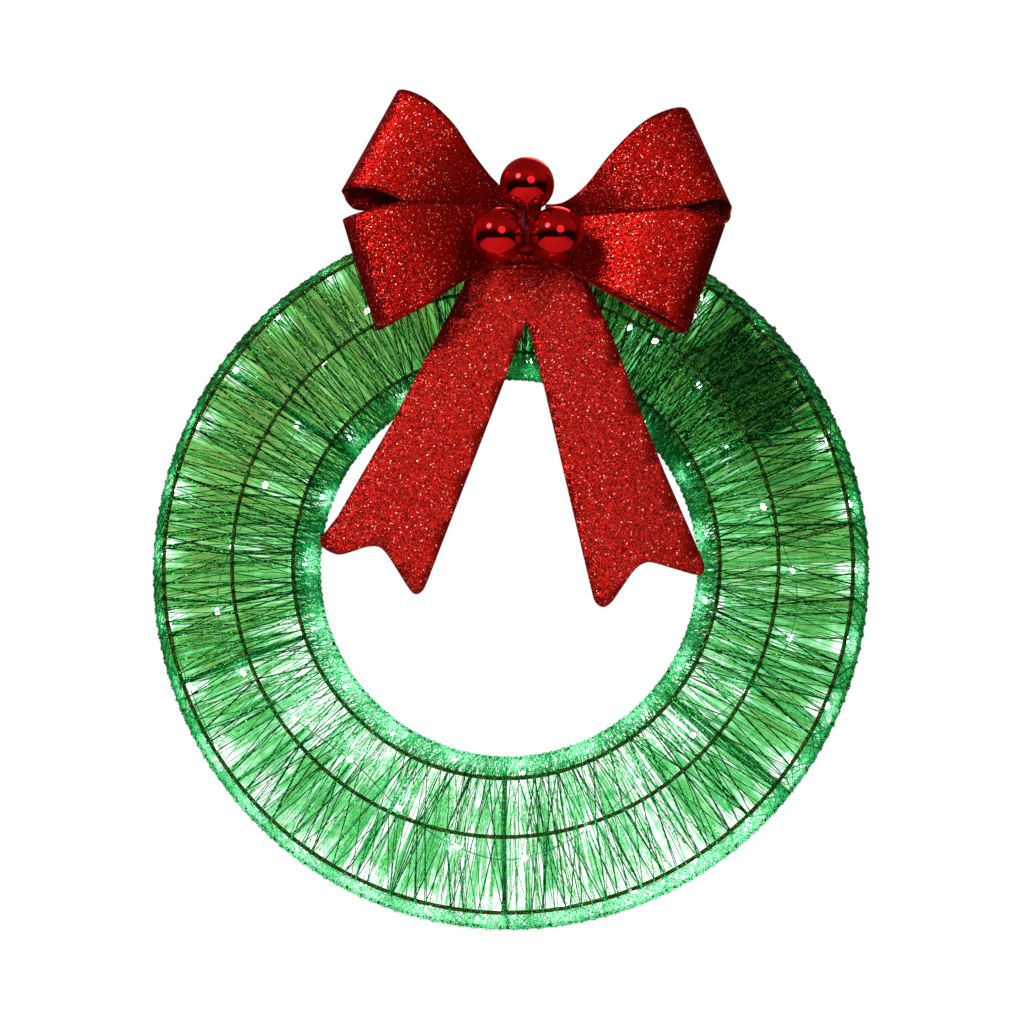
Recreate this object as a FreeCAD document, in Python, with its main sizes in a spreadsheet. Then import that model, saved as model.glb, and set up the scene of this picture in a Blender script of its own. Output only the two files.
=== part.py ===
"""Lighted wreath on a welded wire frame, in millimetres.

The wreath hangs flat on a door or wall and faces -Y. Five wire rings and six bent arches carry a
see-through winding of tinsel thread. A light string runs inside the winding, fed by a battery case
in the back. A glitter bow with two tails and three balls is wired to the front at the top.

Everything is drawn in the wreath's own plane first: x to the right, y up and z out of the front,
with the centre of the hole at the origin and the back rings at z = 0. FRONT turns that plane
upright and puts the hanging loop at the part's origin.
"""

import FreeCAD
import Part
import Sketcher
import math
import os
from FreeCAD import Placement, Rotation, Vector

DRIVING_SIZES = {
    # wire frame
    "ring_wire": 3.0,
    "hoop_wire": 2.8,
    "weld_bite": 0.3,
    "back_outer_radius": 272.0,
    "front_outer_radius": 258.5,
    "front_outer_depth": 35.0,
    "crown_radius": 202.0,
    "crown_depth": 60.0,
    "front_inner_radius": 160.0,
    "front_inner_depth": 37.0,
    "back_inner_radius": 146.0,
    # tinsel winding, as a thin skin round the frame
    "skin_gap": 0.1,
    "skin_thickness": 1.0,
    # hanging loop
    "hanger_wire": 1.6,
    "hanger_hole": 10.0,
    "hanger_height": 13.0,
    "collar_width": 5.0,
    # light string
    "string_wire": 0.8,
    "bead_diameter": 3.4,
    "bead_length": 5.4,
    "bead_count": 78,
    # battery case
    "case_radius": 230.0,
    "case_angle": 37.5,
    "case_length": 74.0,
    "case_width": 51.0,
    "case_front": 16.0,
    "case_rear": 7.0,
    "case_wall": 2.0,
    "cell_bay_length": 57.0,
    "partition": 1.5,
    "lip_thickness": 1.6,
    "groove_bite": 1.0,
    "cover_thickness": 2.0,
    "cover_play": 0.1,
    "cell_diameter": 14.2,
    "cell_length": 49.2,
    "cell_pitch": 15.4,
    "nub_diameter": 5.2,
    "nub_height": 1.2,
    "contact_thickness": 0.4,
    "spring_wire": 0.7,
    "board_thickness": 1.2,
    "board_depth": 6.0,
    "button_diameter": 7.0,
    "button_play": 0.1,
    "plunger_diameter": 3.2,
    "ear_thickness": 2.0,
    "tie_width": 2.5,
    "tie_thickness": 1.0,
    # bow, tails and balls
    "sheet_thickness": 0.8,
    "bow_x": 16.0,
    "bow_y": 240.0,
    "waist_height": 43.0,
    "waist_length": 28.0,
    "waist_depth": 64.4,
    "tab_thickness": 2.0,
    "lobe_nose": 26.0,
    "lobe_lift": 5.0,
    "lobe_bulge": 37.0,
    "tail_depth": 63.2,
    "ball_diameter": 40.0,
    "ball_wall": 1.0,
    "ball_spacing": 42.8,
    "ball_depth": 98.0,
    "ball_rise": 8.6,
    "ball_shift": 3.3,
    "cap_diameter": 9.0,
    "cap_height": 4.0,
    "stem_wire": 1.0,
    "tie_wire": 2.0,
}

# Where the six hoops stand, in degrees round the wreath from +x towards +y. They are welded by
# eye, so their spacing is uneven.
HOOP_ANGLES = [26.0, 85.0, 145.0, 200.0, 270.0, 321.0]


class Size:
    """A number together with the spreadsheet expression that gives it."""

    def __init__(self, value, text):
        self.value = value
        self.text = text

    def _with(self, other, sign, value):
        text = other.text if isinstance(other, Size) else repr(float(other))
        return Size(value, f"({self.text} {sign} {text})")

    def __add__(self, other):
        return self._with(other, "+", self.value + number(other))

    def __sub__(self, other):
        return self._with(other, "-", self.value - number(other))

    def __mul__(self, other):
        return self._with(other, "*", self.value * number(other))

    def __truediv__(self, other):
        return self._with(other, "/", self.value / number(other))

    def __neg__(self):
        return Size(-self.value, f"(-1 * {self.text})")


def number(size):
    return size.value if isinstance(size, Size) else float(size)


class Sizes:
    """The driving dimensions, read as sizes.name."""

    def __init__(self, values):
        for name, value in values.items():
            setattr(self, name, Size(value, f"sizes.{name}"))


doc = FreeCAD.newDocument("lighted_wreath")
sheet = doc.addObject("Spreadsheet::Sheet", "sizes")
for row, (alias, value) in enumerate(DRIVING_SIZES.items(), start=1):
    sheet.set(f"A{row}", alias.replace("_", " "))
    sheet.set(f"B{row}", str(value))
    sheet.setAlias(f"B{row}", alias)
doc.recompute()
s = Sizes({alias: float(getattr(sheet, alias)) for alias in DRIVING_SIZES})

HANG_Z = -(number(s.back_outer_radius) + number(s.hanger_height))
FRONT = Placement(Vector(0, 0, HANG_Z), Rotation(Vector(1, 0, 0), 90))
NODES = []


def node(thing, label, placement=None):
    """Names thing as a sub-part and stands it in the part's frame."""
    thing.Label = label
    thing.Placement = FRONT.multiply(placement or Placement())
    NODES.append(thing)
    return thing


def bind(thing, **properties):
    """Sets properties, tying each that is a Size to the spreadsheet."""
    for name, value in properties.items():
        if isinstance(value, Size):
            thing.setExpression(name, value.text)
        else:
            setattr(thing, name, value)
    return thing


def turned_about_z(degrees, shift=(0, 0, 0)):
    return Placement(Vector(*shift), Rotation(Vector(0, 0, 1), degrees))


def polar(radius, degrees, depth=0.0):
    angle = math.radians(degrees)
    return Vector(radius * math.cos(angle), radius * math.sin(angle), depth)


# ---------------------------------------------------------------- sketches and bodies


def new_body(name):
    return doc.addObject("PartDesign::Body", name)


def new_sketch(body, role, name, height=0.0):
    """A sketch on one of the body's own origin planes, lifted off it by height."""
    sketch = body.newObject("Sketcher::SketchObject", name)
    planes = [f for f in body.Origin.OriginFeatures if f.Role == role]
    sketch.AttachmentSupport = [(planes[0], "")]
    sketch.MapMode = "FlatFace"
    if isinstance(height, Size):
        sketch.setExpression("AttachmentOffset.Base.z", height.text)
    elif height:
        sketch.AttachmentOffset = Placement(Vector(0, 0, height), Rotation())
    return sketch


def fix_point(sketch, line, end, x, y):
    """Holds one end of a line at x, y, by dimensions tied to the spreadsheet."""
    for kind, axis, size in (("DistanceX", -2, x), ("DistanceY", -1, y)):
        if abs(number(size)) < 1e-9:
            sketch.addConstraint(Sketcher.Constraint("PointOnObject", line, end, axis))
            continue
        at = sketch.addConstraint(Sketcher.Constraint(kind, -1, 1, line, end, number(size)))
        if isinstance(size, Size):
            sketch.setExpression(f"Constraints[{at}]", size.text)


def polygon(sketch, corners):
    """A closed outline with a dimensioned corner at each (x, y)."""
    first = sketch.GeometryCount
    count = len(corners)
    points = [Vector(number(x), number(y), 0) for x, y in corners]
    for i in range(count):
        sketch.addGeometry(Part.LineSegment(points[i], points[(i + 1) % count]), False)
    for i in range(count):
        following = first + (i + 1) % count
        sketch.addConstraint(Sketcher.Constraint("Coincident", first + i, 2, following, 1))
    for i, (x, y) in enumerate(corners):
        fix_point(sketch, first + i, 1, x, y)


def rectangle(sketch, x_low, x_high, y_low, y_high):
    polygon(sketch, [(x_low, y_low), (x_high, y_low), (x_high, y_high), (x_low, y_high)])


def circle(sketch, x, y, diameter):
    at = sketch.addGeometry(
        Part.Circle(Vector(number(x), number(y), 0), Vector(0, 0, 1), number(diameter) / 2), False
    )
    fix_point(sketch, at, 3, x, y)
    dimension = sketch.addConstraint(Sketcher.Constraint("Diameter", at, number(diameter)))
    if isinstance(diameter, Size):
        sketch.setExpression(f"Constraints[{dimension}]", diameter.text)


def pad(body, sketch, length, reverse=False):
    feature = body.newObject("PartDesign::Pad", f"{sketch.Name}_pad")
    feature.Profile = sketch
    bind(feature, Length=length, Reversed=reverse)
    body.Tip = feature
    return feature


def pocket(body, sketch, length, reverse=False):
    """Cuts the sketch out of the body and makes sure that something was cut."""
    doc.recompute()
    before = body.Shape.Volume
    feature = body.newObject("PartDesign::Pocket", f"{sketch.Name}_pocket")
    feature.Profile = sketch
    bind(feature, Length=length, Reversed=reverse)
    body.Tip = feature
    doc.recompute()
    if body.Shape.Volume > before - 0.01:
        raise RuntimeError(f"{feature.Name} cuts nothing")
    return feature


def turned(name, profile):
    """A turned piece about z: profile is a closed outline of (radius, height) corners."""
    body = new_body(name)
    sketch = new_sketch(body, "XZ_Plane", f"{name}_profile")
    polygon(sketch, profile)
    feature = body.newObject("PartDesign::Revolution", f"{name}_turn")
    feature.Profile = sketch
    feature.ReferenceAxis = (sketch, ["V_Axis"])
    feature.Angle = 360
    body.Tip = feature
    return body


def box(name, length, width, height, corner=(0, 0, 0)):
    """A block of those sizes along x, y and z, with its lowest corner at corner."""
    block = bind(doc.addObject("Part::Box", name), Length=length, Width=width, Height=height)
    block.Placement = Placement(Vector(*[number(c) for c in corner]), Rotation())
    return block


def cut(name, base, *tools):
    """base less every tool, as nested cuts."""
    for i, tool in enumerate(tools):
        result = doc.addObject("Part::Cut", name if i == len(tools) - 1 else f"{name}_{i}")
        result.Base = base
        result.Tool = tool
        base = result
    return base


def feature(name, shape):
    thing = doc.addObject("Part::Feature", name)
    thing.Shape = shape
    return thing


# ---------------------------------------------------------------- bent wires


def bent_path(points, bend=None, closed=False):
    """Straight runs joined by tangent arcs. With no bend, each arc is as large as its runs allow."""
    count = len(points)
    corners = range(count) if closed else range(1, count - 1)
    arcs = {}
    for i in corners:
        back = points[i] - points[i - 1]
        ahead = points[(i + 1) % count] - points[i]
        turn = back.getAngle(ahead)
        largest = 0.45 * min(back.Length, ahead.Length) / math.tan(turn / 2)
        radius = min(bend or largest, largest)
        back.normalize()
        ahead.normalize()
        reach = radius * math.tan(turn / 2)
        inward = ahead - back
        inward.normalize()
        middle = points[i] + inward * (radius / math.cos(turn / 2) - radius)
        arcs[i] = (points[i] - back * reach, middle, points[i] + ahead * reach, radius)
    edges = []
    for i in range(count if closed else count - 1):
        j = (i + 1) % count
        start = arcs[i][2] if i in arcs else points[i]
        finish = arcs[j][0] if j in arcs else points[j]
        edges.append(Part.LineSegment(start, finish).toShape())
        if j in arcs:
            edges.append(Part.Arc(*arcs[j][:3]).toShape())
    return Part.Wire(edges), sorted(arc[3] for arc in arcs.values())


def wire_along(path, diameter):
    """A round wire along a path of runs and arcs, checked against its section times its length."""
    start = path.Edges[0]
    along = start.tangentAt(start.FirstParameter)
    section = Part.Wire(Part.makeCircle(diameter / 2, start.Vertexes[0].Point, along))
    wire = path.makePipeShell([section], True, True)
    expected = math.pi * diameter**2 / 4 * path.Length
    if abs(wire.Volume - expected) > 0.02 * expected:
        raise RuntimeError(f"wire volume {wire.Volume:.0f} is not {expected:.0f}")
    return wire


# ---------------------------------------------------------------- wire frame

# (radius, depth) of the five ring wires, in order round the winding's section.
SECTION = [
    (s.back_outer_radius, Size(0.0, "0")),
    (s.front_outer_radius, s.front_outer_depth),
    (s.crown_radius, s.crown_depth),
    (s.front_inner_radius, s.front_inner_depth),
    (s.back_inner_radius, Size(0.0, "0")),
]
SECTION_POINTS = [(number(radius), number(depth)) for radius, depth in SECTION]
STRUT_SHIFT = 2.9  # from the arch to the strut welded beside it, round the wreath
RING_NAMES = [
    "back_outer_ring",
    "front_outer_ring",
    "crown_ring",
    "front_inner_ring",
    "back_inner_ring",
]


def make_rings():
    for name, (radius, depth) in zip(RING_NAMES, SECTION):
        ring = bind(doc.addObject("Part::Torus", name), Radius1=radius, Radius2=s.ring_wire / 2)
        node(ring, name, Placement(Vector(0, 0, number(depth)), Rotation()))


def section_offset(distance):
    """The section's five corners moved outward by distance, or inward if it is negative."""
    corners = []
    count = len(SECTION_POINTS)
    for i in range(count):
        before, here, after = (SECTION_POINTS[(i + k) % count] for k in (-1, 0, 1))
        normals = []
        for (r0, z0), (r1, z1) in ((before, here), (here, after)):
            length = math.hypot(r1 - r0, z1 - z0)
            normals.append(((z1 - z0) / length, -(r1 - r0) / length))
        (a, b), (c, d) = normals
        spread = a * d - b * c
        corners.append(
            (here[0] + distance * (d - b) / spread, here[1] + distance * (a - c) / spread)
        )
    return corners


def make_hoops():
    """Six arches bent over the front rings, each with a straight strut beside it at the back."""
    inset = number(s.ring_wire) / 2 + number(s.hoop_wire) / 2 - number(s.weld_bite)
    corners = [Vector(r, 0, z) for r, z in section_offset(-inset)]
    feet = []
    for foot, above in ((corners[0], corners[1]), (corners[4], corners[3])):
        feet.append(foot + (foot - above) * (foot.z / (above.z - foot.z)))
    path, _ = bent_path([feet[0], *corners[1:4], feet[1]], bend=8.0)
    arch = wire_along(path, number(s.hoop_wire))
    for i, angle in enumerate(HOOP_ANGLES, start=1):
        node(feature(f"arch_{i}", arch.copy()), f"arch_{i}", turned_about_z(angle))
        strut = bind(
            doc.addObject("Part::Cylinder", f"strut_{i}"),
            Radius=s.hoop_wire / 2,
            Height=s.back_outer_radius - s.back_inner_radius,
        )
        lying = Placement(
            Vector(number(s.back_inner_radius), -STRUT_SHIFT, inset), Rotation(Vector(0, 1, 0), 90)
        )
        node(strut, f"strut_{i}", turned_about_z(angle).multiply(lying))


# ---------------------------------------------------------------- tinsel winding

CASE_AT = polar(number(s.case_radius), number(s.case_angle))
CASE_PLACE = turned_about_z(number(s.case_angle) - 90.0, tuple(CASE_AT))
WINDOW_PLAY = 0.5
RING_TIE_X = -20.0  # in the case's frame, along the wreath from the case's centre


def openings_in_bay(bay):
    """Blocks cut out of the winding, for the case, its tie, the hanger and the bow's wire."""
    blocks = []
    if bay == 1:
        window = box(
            "case_window",
            s.case_length + 2 * WINDOW_PLAY,
            s.case_width + 2 * WINDOW_PLAY,
            14.0,
            (-s.case_length / 2 - WINDOW_PLAY, -s.case_width / 2 - WINDOW_PLAY, -9.0),
        )
        tie_slot = box("tie_slot", s.tie_width + 1.5, 27.0, 12.0, (RING_TIE_X - 2.0, 25.0, -6.0))
        for block in (window, tie_slot):
            block.Placement = CASE_PLACE.multiply(block.Placement)
            blocks.append(block)
    if bay == 1 or bay == 2:
        low = (s.bow_x - 2.0, 249.5, 28.0)
        blocks.append(box(f"bow_wire_slot_{bay}", 4.0, 18.0, 24.0, low))
    if bay == 2:
        slot = s.collar_width + 2.0
        low = (-slot / 2, s.back_outer_radius - 5.0, -6.0)
        blocks.append(box("hanger_slot", slot, 12.0, 12.0, low))
    return blocks


def make_winding():
    """The thread between one hoop and the next, as a thin closed skin round all five rings."""
    inner = number(s.ring_wire) / 2 + number(s.skin_gap)
    outer = inner + number(s.skin_thickness)
    shifts = []
    for distance in (inner, outer):
        moved = section_offset(distance)
        shifts.append([(m[0] - p[0], m[1] - p[1]) for m, p in zip(moved, SECTION_POINTS)])
    for i, start in enumerate(HOOP_ANGLES, start=1):
        name = f"winding_bay_{i}"
        span = (HOOP_ANGLES[i % len(HOOP_ANGLES)] - start) % 360.0
        body = new_body(f"{name}_skin")
        sketch = new_sketch(body, "XZ_Plane", f"{name}_section")
        for shift in shifts:
            polygon(sketch, [(r + dr, z + dz) for (r, z), (dr, dz) in zip(SECTION, shift)])
        turn = body.newObject("PartDesign::Revolution", f"{name}_turn")
        turn.Profile = sketch
        turn.ReferenceAxis = (sketch, ["V_Axis"])
        turn.Angle = span
        body.Tip = turn
        blocks = openings_in_bay(i)
        if blocks:
            body.Placement = turned_about_z(start)
            node(cut(name, body, *blocks), name)
        else:
            node(body, name, turned_about_z(start))


# ---------------------------------------------------------------- hanging loop


def make_hanger():
    """A wire eye twisted round the back outer ring at the top. Its hole is at the origin."""
    wire = number(s.hanger_wire)
    top = number(s.back_outer_radius)
    rise = number(s.hanger_height)
    eye_radius = (number(s.hanger_hole) + wire) / 2
    eye = Part.makeTorus(eye_radius, wire / 2, Vector(0, top + rise, 0), Vector(0, 0, 1))
    collar_inner = number(s.ring_wire) / 2 + 0.05
    collar_outer = collar_inner + wire
    width = number(s.collar_width)
    collar_start = Vector(-width / 2, top, 0)
    collar = Part.makeCylinder(collar_outer, width, collar_start, Vector(1, 0, 0))
    ring = Part.makeTorus(top, collar_inner, Vector(0, 0, 0), Vector(0, 0, 1))
    leg_low = top + collar_inner + 0.4
    leg_high = top + rise - eye_radius
    leg = Part.makeCylinder(wire * 0.8, leg_high - leg_low, Vector(0, leg_low, 0), Vector(0, 1, 0))
    hanger = collar.fuse([leg, eye]).cut(ring)
    node(feature("hanging_loop", hanger), "hanging_loop")


# ---------------------------------------------------------------- light string

NEAR_WALL = 2.4  # from the line of the ring wires to the light string, between arches
NEAR_ARCH = 7.6  # the same where the string passes inside an arch


def inset_at(degrees):
    """How far inside the ring wires the string lies, at an angle round the wreath."""
    nearest = min(abs((degrees - a + 180.0) % 360.0 - 180.0) for a in HOOP_ANGLES)
    share = min(1.0, max(0.0, 1.6 - 1.6 * nearest / 11.0))
    return NEAR_WALL + (NEAR_ARCH - NEAR_WALL) * share


def wobble(degrees, reach, pace, start):
    return reach * math.sin(math.radians(degrees * pace + start))


def panel_point(first, second, share, inset):
    """(radius, depth) on the panel between two ring wires, moved into the wreath by inset."""
    (r0, z0), (r1, z1) = SECTION_POINTS[first], SECTION_POINTS[second]
    length = math.hypot(r1 - r0, z1 - z0)
    along_r, along_z = (r1 - r0) / length, (z1 - z0) / length
    return (
        r0 + (r1 - r0) * share - inset * along_z,
        z0 + (z1 - z0) * share + inset * along_r,
    )


def outer_lap(degrees):
    return panel_point(0, 1, 0.42 + wobble(degrees, 0.10, 5.3, 20), inset_at(degrees))


def middle_lap(degrees):
    swing = wobble(degrees, 1.0, 4.6, 70)
    if swing > 0:
        return panel_point(1, 2, 1.0 - 0.42 * swing, NEAR_ARCH)
    return panel_point(2, 3, -0.50 * swing, NEAR_ARCH)


def inner_lap(degrees):
    return panel_point(3, 4, 0.62 + wobble(degrees, 0.12, 7.1, 0), inset_at(degrees))


def case_point(x, y, z):
    """A point given in the battery case's frame, in the wreath's frame."""
    return CASE_PLACE.multVec(Vector(x, y, z))


def string_route():
    """The light string: three laps of the wreath, outer, middle and inner, ending inside."""
    points = [case_point(-34.0, 10.0, 4.0), case_point(-44.0, 12.0, 5.0)]
    for lap, first, last in LAPS:
        steps = round((last - first) / 12.0)
        for i in range(steps + 1):
            degrees = first + (last - first) * i / steps
            radius, depth = lap(degrees)
            points.append(polar(radius, degrees, depth))
    return points


# Each lap of the light string with the angles where it starts and ends.
LAPS = [(outer_lap, 60.0, 408.0), (middle_lap, 426.0, 774.0), (inner_lap, 792.0, 1132.0)]


def make_bead():
    """One light's potting: a clear bead with round ends, lying along z."""
    radius = number(s.bead_diameter) / 2
    half = number(s.bead_length) / 2 - radius
    slant = radius * math.sqrt(0.5)
    ends = []
    for up in (-1, 1):
        tip, shoulder = Vector(0, 0, up * (half + radius)), Vector(radius, 0, up * half)
        ends.append(Part.Arc(tip, Vector(slant, 0, up * (half + slant)), shoulder))
    side = Part.LineSegment(Vector(radius, 0, -half), Vector(radius, 0, half))
    axis = Part.LineSegment(Vector(0, 0, half + radius), Vector(0, 0, -half - radius))
    edges = Part.sortEdges([line.toShape() for line in (*ends, side, axis)])[0]
    return Part.Face(Part.Wire(edges)).revolve(Vector(0, 0, 0), Vector(0, 0, 1), 360)


def make_string():
    path, radii = bent_path(string_route())
    print(f"light string {path.Length:.0f} mm, bends {radii[0]:.1f} to {radii[-1]:.1f} mm")
    wire = wire_along(path, number(s.string_wire))
    node(feature("string_wire", wire), "string_wire")
    count = int(number(s.bead_count))
    stops = path.discretize(Number=8 * count + 1)
    bead = make_bead()
    beads = []
    for at in range(6, 8 * count, 8):
        along = stops[at + 1] - stops[at - 1]
        placed = bead.copy()
        placed.Placement = Placement(stops[at], Rotation(Vector(0, 0, 1), along))
        beads.append(placed)
    node(feature("light_beads", Part.makeCompound(beads).cut(wire)), "light_beads")


# ---------------------------------------------------------------- battery case
# In the case's frame x runs along the wreath, y away from the wreath's centre and z out of the
# wreath's front. The case opens to the rear, at -z, and its cover slides off towards +x.

CASE_END = s.case_length / 2
CASE_SIDE = s.case_width / 2
BAY_START = -CASE_END + s.case_wall
PARTITION_LOW = CASE_END - s.case_wall - s.cell_bay_length - s.partition
PARTITION_HIGH = PARTITION_LOW + s.partition
INSIDE = CASE_SIDE - s.case_wall
GROOVE_LOW = -s.case_rear + s.lip_thickness
GROOVE_HIGH = GROOVE_LOW + s.cover_thickness + s.cover_play * 2
COVER_LOW = GROOVE_LOW + s.cover_play
COVER_SIDE = INSIDE + s.groove_bite - s.cover_play
LID_END = PARTITION_HIGH - 0.2
BUTTON_X = (BAY_START + PARTITION_LOW) / 2
BUTTON_Y = -8.0
EAR_REACH = 4.0
EAR_HALF = 4.0
EAR_LOW = 1.6
HOLE_NEAR = 0.6  # from the case's wall to the hole in an ear
HOLE_WIDTH = 1.4
STRUT_EARS_Y = (-14.0, 8.0)


def make_case():
    body = new_body("battery_case")
    outline = new_sketch(body, "XY_Plane", "case_outline", -s.case_rear)
    rectangle(outline, -CASE_END, CASE_END, -CASE_SIDE, CASE_SIDE)
    pad(body, outline, s.case_rear + s.case_front)
    for name, low, high in (
        ("electronics_bay", BAY_START, PARTITION_LOW),
        ("cell_bay", PARTITION_HIGH, CASE_END - s.case_wall),
    ):
        bay = new_sketch(body, "XY_Plane", name, -s.case_rear)
        rectangle(bay, low, high, -INSIDE, INSIDE)
        pocket(body, bay, s.case_rear + s.case_front - s.case_wall, reverse=True)
    over = new_sketch(body, "XY_Plane", "over_partition", -s.case_rear)
    rectangle(over, BAY_START, CASE_END, -INSIDE, INSIDE)
    pocket(body, over, s.case_rear + GROOVE_HIGH, reverse=True)
    groove = new_sketch(body, "XY_Plane", "cover_groove", GROOVE_LOW)
    reach = INSIDE + s.groove_bite
    rectangle(groove, BAY_START, CASE_END, -reach, reach)
    pocket(body, groove, GROOVE_HIGH - GROOVE_LOW, reverse=True)
    ears = new_sketch(body, "XY_Plane", "tie_ears", EAR_LOW)
    for y in STRUT_EARS_Y:
        rectangle(ears, CASE_END, CASE_END + EAR_REACH, y - EAR_HALF, y + EAR_HALF)
    low, high = RING_TIE_X - EAR_HALF, RING_TIE_X + EAR_HALF
    rectangle(ears, low, high, CASE_SIDE, CASE_SIDE + EAR_REACH)
    pad(body, ears, s.ear_thickness)
    holes = new_sketch(body, "XY_Plane", "tie_holes", EAR_LOW)
    half = s.tie_width / 2 + 0.3
    near = CASE_END + HOLE_NEAR
    for y in STRUT_EARS_Y:
        rectangle(holes, near, near + HOLE_WIDTH, -half + y, half + y)
    near = CASE_SIDE + HOLE_NEAR
    rectangle(holes, -half + RING_TIE_X, half + RING_TIE_X, near, near + HOLE_WIDTH)
    pocket(body, holes, s.ear_thickness, reverse=True)
    outlet = new_sketch(body, "YZ_Plane", "lead_outlet", -CASE_END - 1.0)
    circle(outlet, 10.0, 4.0, 3.0)
    pocket(body, outlet, s.case_wall + 2.0, reverse=True)
    node(body, "battery_case", CASE_PLACE)


def make_lids():
    """The fixed lid over the electronics, and the cover that slides off the cells."""
    lid = new_body("electronics_lid")
    outline = new_sketch(lid, "XY_Plane", "lid_outline", COVER_LOW)
    rectangle(outline, BAY_START + s.cover_play, LID_END, -COVER_SIDE, COVER_SIDE)
    circle(outline, BUTTON_X, BUTTON_Y, s.button_diameter + s.button_play * 2)
    pad(lid, outline, s.cover_thickness)
    node(lid, "electronics_lid", CASE_PLACE)

    cover = new_body("battery_cover")
    outline = new_sketch(cover, "XY_Plane", "cover_outline", COVER_LOW)
    rectangle(outline, LID_END + 0.2, CASE_END, -COVER_SIDE, COVER_SIDE)
    pad(cover, outline, s.cover_thickness)
    ridges = new_sketch(cover, "XY_Plane", "cover_ridges", COVER_LOW)
    for i in range(4):
        x = CASE_END - 7.0 - 4.0 * i
        rectangle(ridges, x, x + 1.6, -INSIDE + 6.0, INSIDE - 6.0)
    pad(cover, ridges, 0.9, reverse=True)
    node(cover, "battery_cover", CASE_PLACE)


def make_electronics():
    """The board across the electronics bay, its push switch and the button over the switch."""
    board_length = PARTITION_LOW - BAY_START - 0.6
    board_width = INSIDE * 2 - 4.0
    corner = (BAY_START + 0.3, -INSIDE + 2.0, s.board_depth)
    board = box("circuit_board", board_length, board_width, s.board_thickness, corner)
    board.Placement = CASE_PLACE.multiply(board.Placement)
    node_at(board, "circuit_board")

    switch = new_body("push_switch")
    outline = new_sketch(switch, "XY_Plane", "switch_outline", 2.6)
    x, y = BUTTON_X, Size(BUTTON_Y, repr(BUTTON_Y))
    rectangle(outline, x - 3.0, x + 3.0, y - 3.0, y + 3.0)
    pad(switch, outline, s.board_depth - 2.6)
    well = new_sketch(switch, "XY_Plane", "switch_well", 2.6)
    circle(well, x, y, s.plunger_diameter + 0.1)
    pocket(switch, well, 2.4, reverse=True)
    node(switch, "push_switch", CASE_PLACE)

    at_button = CASE_PLACE.multiply(Placement(Vector(number(BUTTON_X), BUTTON_Y, 0), Rotation()))
    top, flange = COVER_LOW - 1.0, COVER_LOW + s.cover_thickness + 0.1
    cap, stem = s.button_diameter / 2, s.plunger_diameter / 2
    button = turned(
        "mode_button",
        [
            (0, top),
            (cap - 0.5, top),
            (cap, top + 0.5),
            (cap, flange),
            (cap + 1.0, flange),
            (cap + 1.0, flange + 1.0),
            (stem, flange + 1.0),
            (stem, flange + 3.2),
            (0, flange + 3.2),
        ],
    )
    node(button, "mode_button", at_button)
    plunger = turned(
        "switch_plunger",
        [(0, flange + 3.2), (stem, flange + 3.2), (stem, 3.4), (0, 3.4)],
    )
    node(plunger, "switch_plunger", at_button)


def node_at(thing, label):
    """Names a sub-part that already stands where it should in the wreath's frame."""
    return node(thing, label, thing.Placement)


CELL_Z = s.case_front - s.case_wall - 0.3 - s.cell_diameter / 2


def make_cells():
    """Three cells side by side, every other one turned round, between plates and springs."""
    plate = s.contact_thickness
    bay_high = CASE_END - s.case_wall
    half = s.cell_diameter / 2
    total = s.cell_length + s.nub_height
    for i in (-1, 0, 1):
        cell = turned(
            f"cell_{i + 2}",
            [
                (0, 0),
                (half - 0.4, 0),
                (half, 0.4),
                (half, s.cell_length - 0.4),
                (half - 0.4, s.cell_length),
                (s.nub_diameter / 2, s.cell_length),
                (s.nub_diameter / 2, total),
                (0, total),
            ],
        )
        outward = i != 0
        start = bay_high - plate - total if outward else PARTITION_HIGH + plate + total
        at = Placement(
            Vector(number(start), i * number(s.cell_pitch), number(CELL_Z)),
            Rotation(Vector(0, 1, 0), 90 if outward else -90),
        )
        node(cell, f"cell_{i + 2}", CASE_PLACE.multiply(at))
        base = number(PARTITION_HIGH + plate) if outward else number(bay_high - plate)
        seat = number(s.spring_wire) / 2 + 0.05
        seated = Vector(base + (seat if outward else -seat), at.Base.y, at.Base.z)
        spring = feature(f"cell_spring_{i + 2}", coil(abs(number(start) - base) - 2 * seat))
        node(spring, f"cell_spring_{i + 2}", CASE_PLACE.multiply(Placement(seated, at.Rotation)))
    pitch, reach = s.cell_pitch, 5.0
    for label, x, low, high in (
        ("contact_link_1", PARTITION_HIGH, -pitch - reach, Size(reach, repr(reach))),
        ("contact_plate_1", PARTITION_HIGH, pitch - reach, pitch + reach),
        ("contact_plate_2", bay_high - plate, -pitch - reach, -pitch + reach),
        ("contact_link_2", bay_high - plate, Size(-reach, repr(-reach)), pitch + reach),
    ):
        block = box(label, plate, high - low, 10.0, (x, low, CELL_Z - 5.0))
        block.Placement = CASE_PLACE.multiply(block.Placement)
        node_at(block, label)


def coil(height):
    """A cell's spring, squeezed to that height between the middles of its end turns."""
    steps, per_turn = 24, 8
    corners = [
        polar(3.6, 360.0 * i / per_turn) + Vector(0, 0, height * i / steps) for i in range(steps + 1)
    ]
    path, _ = bent_path(corners, bend=2.4)
    return wire_along(path, number(s.spring_wire))


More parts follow.
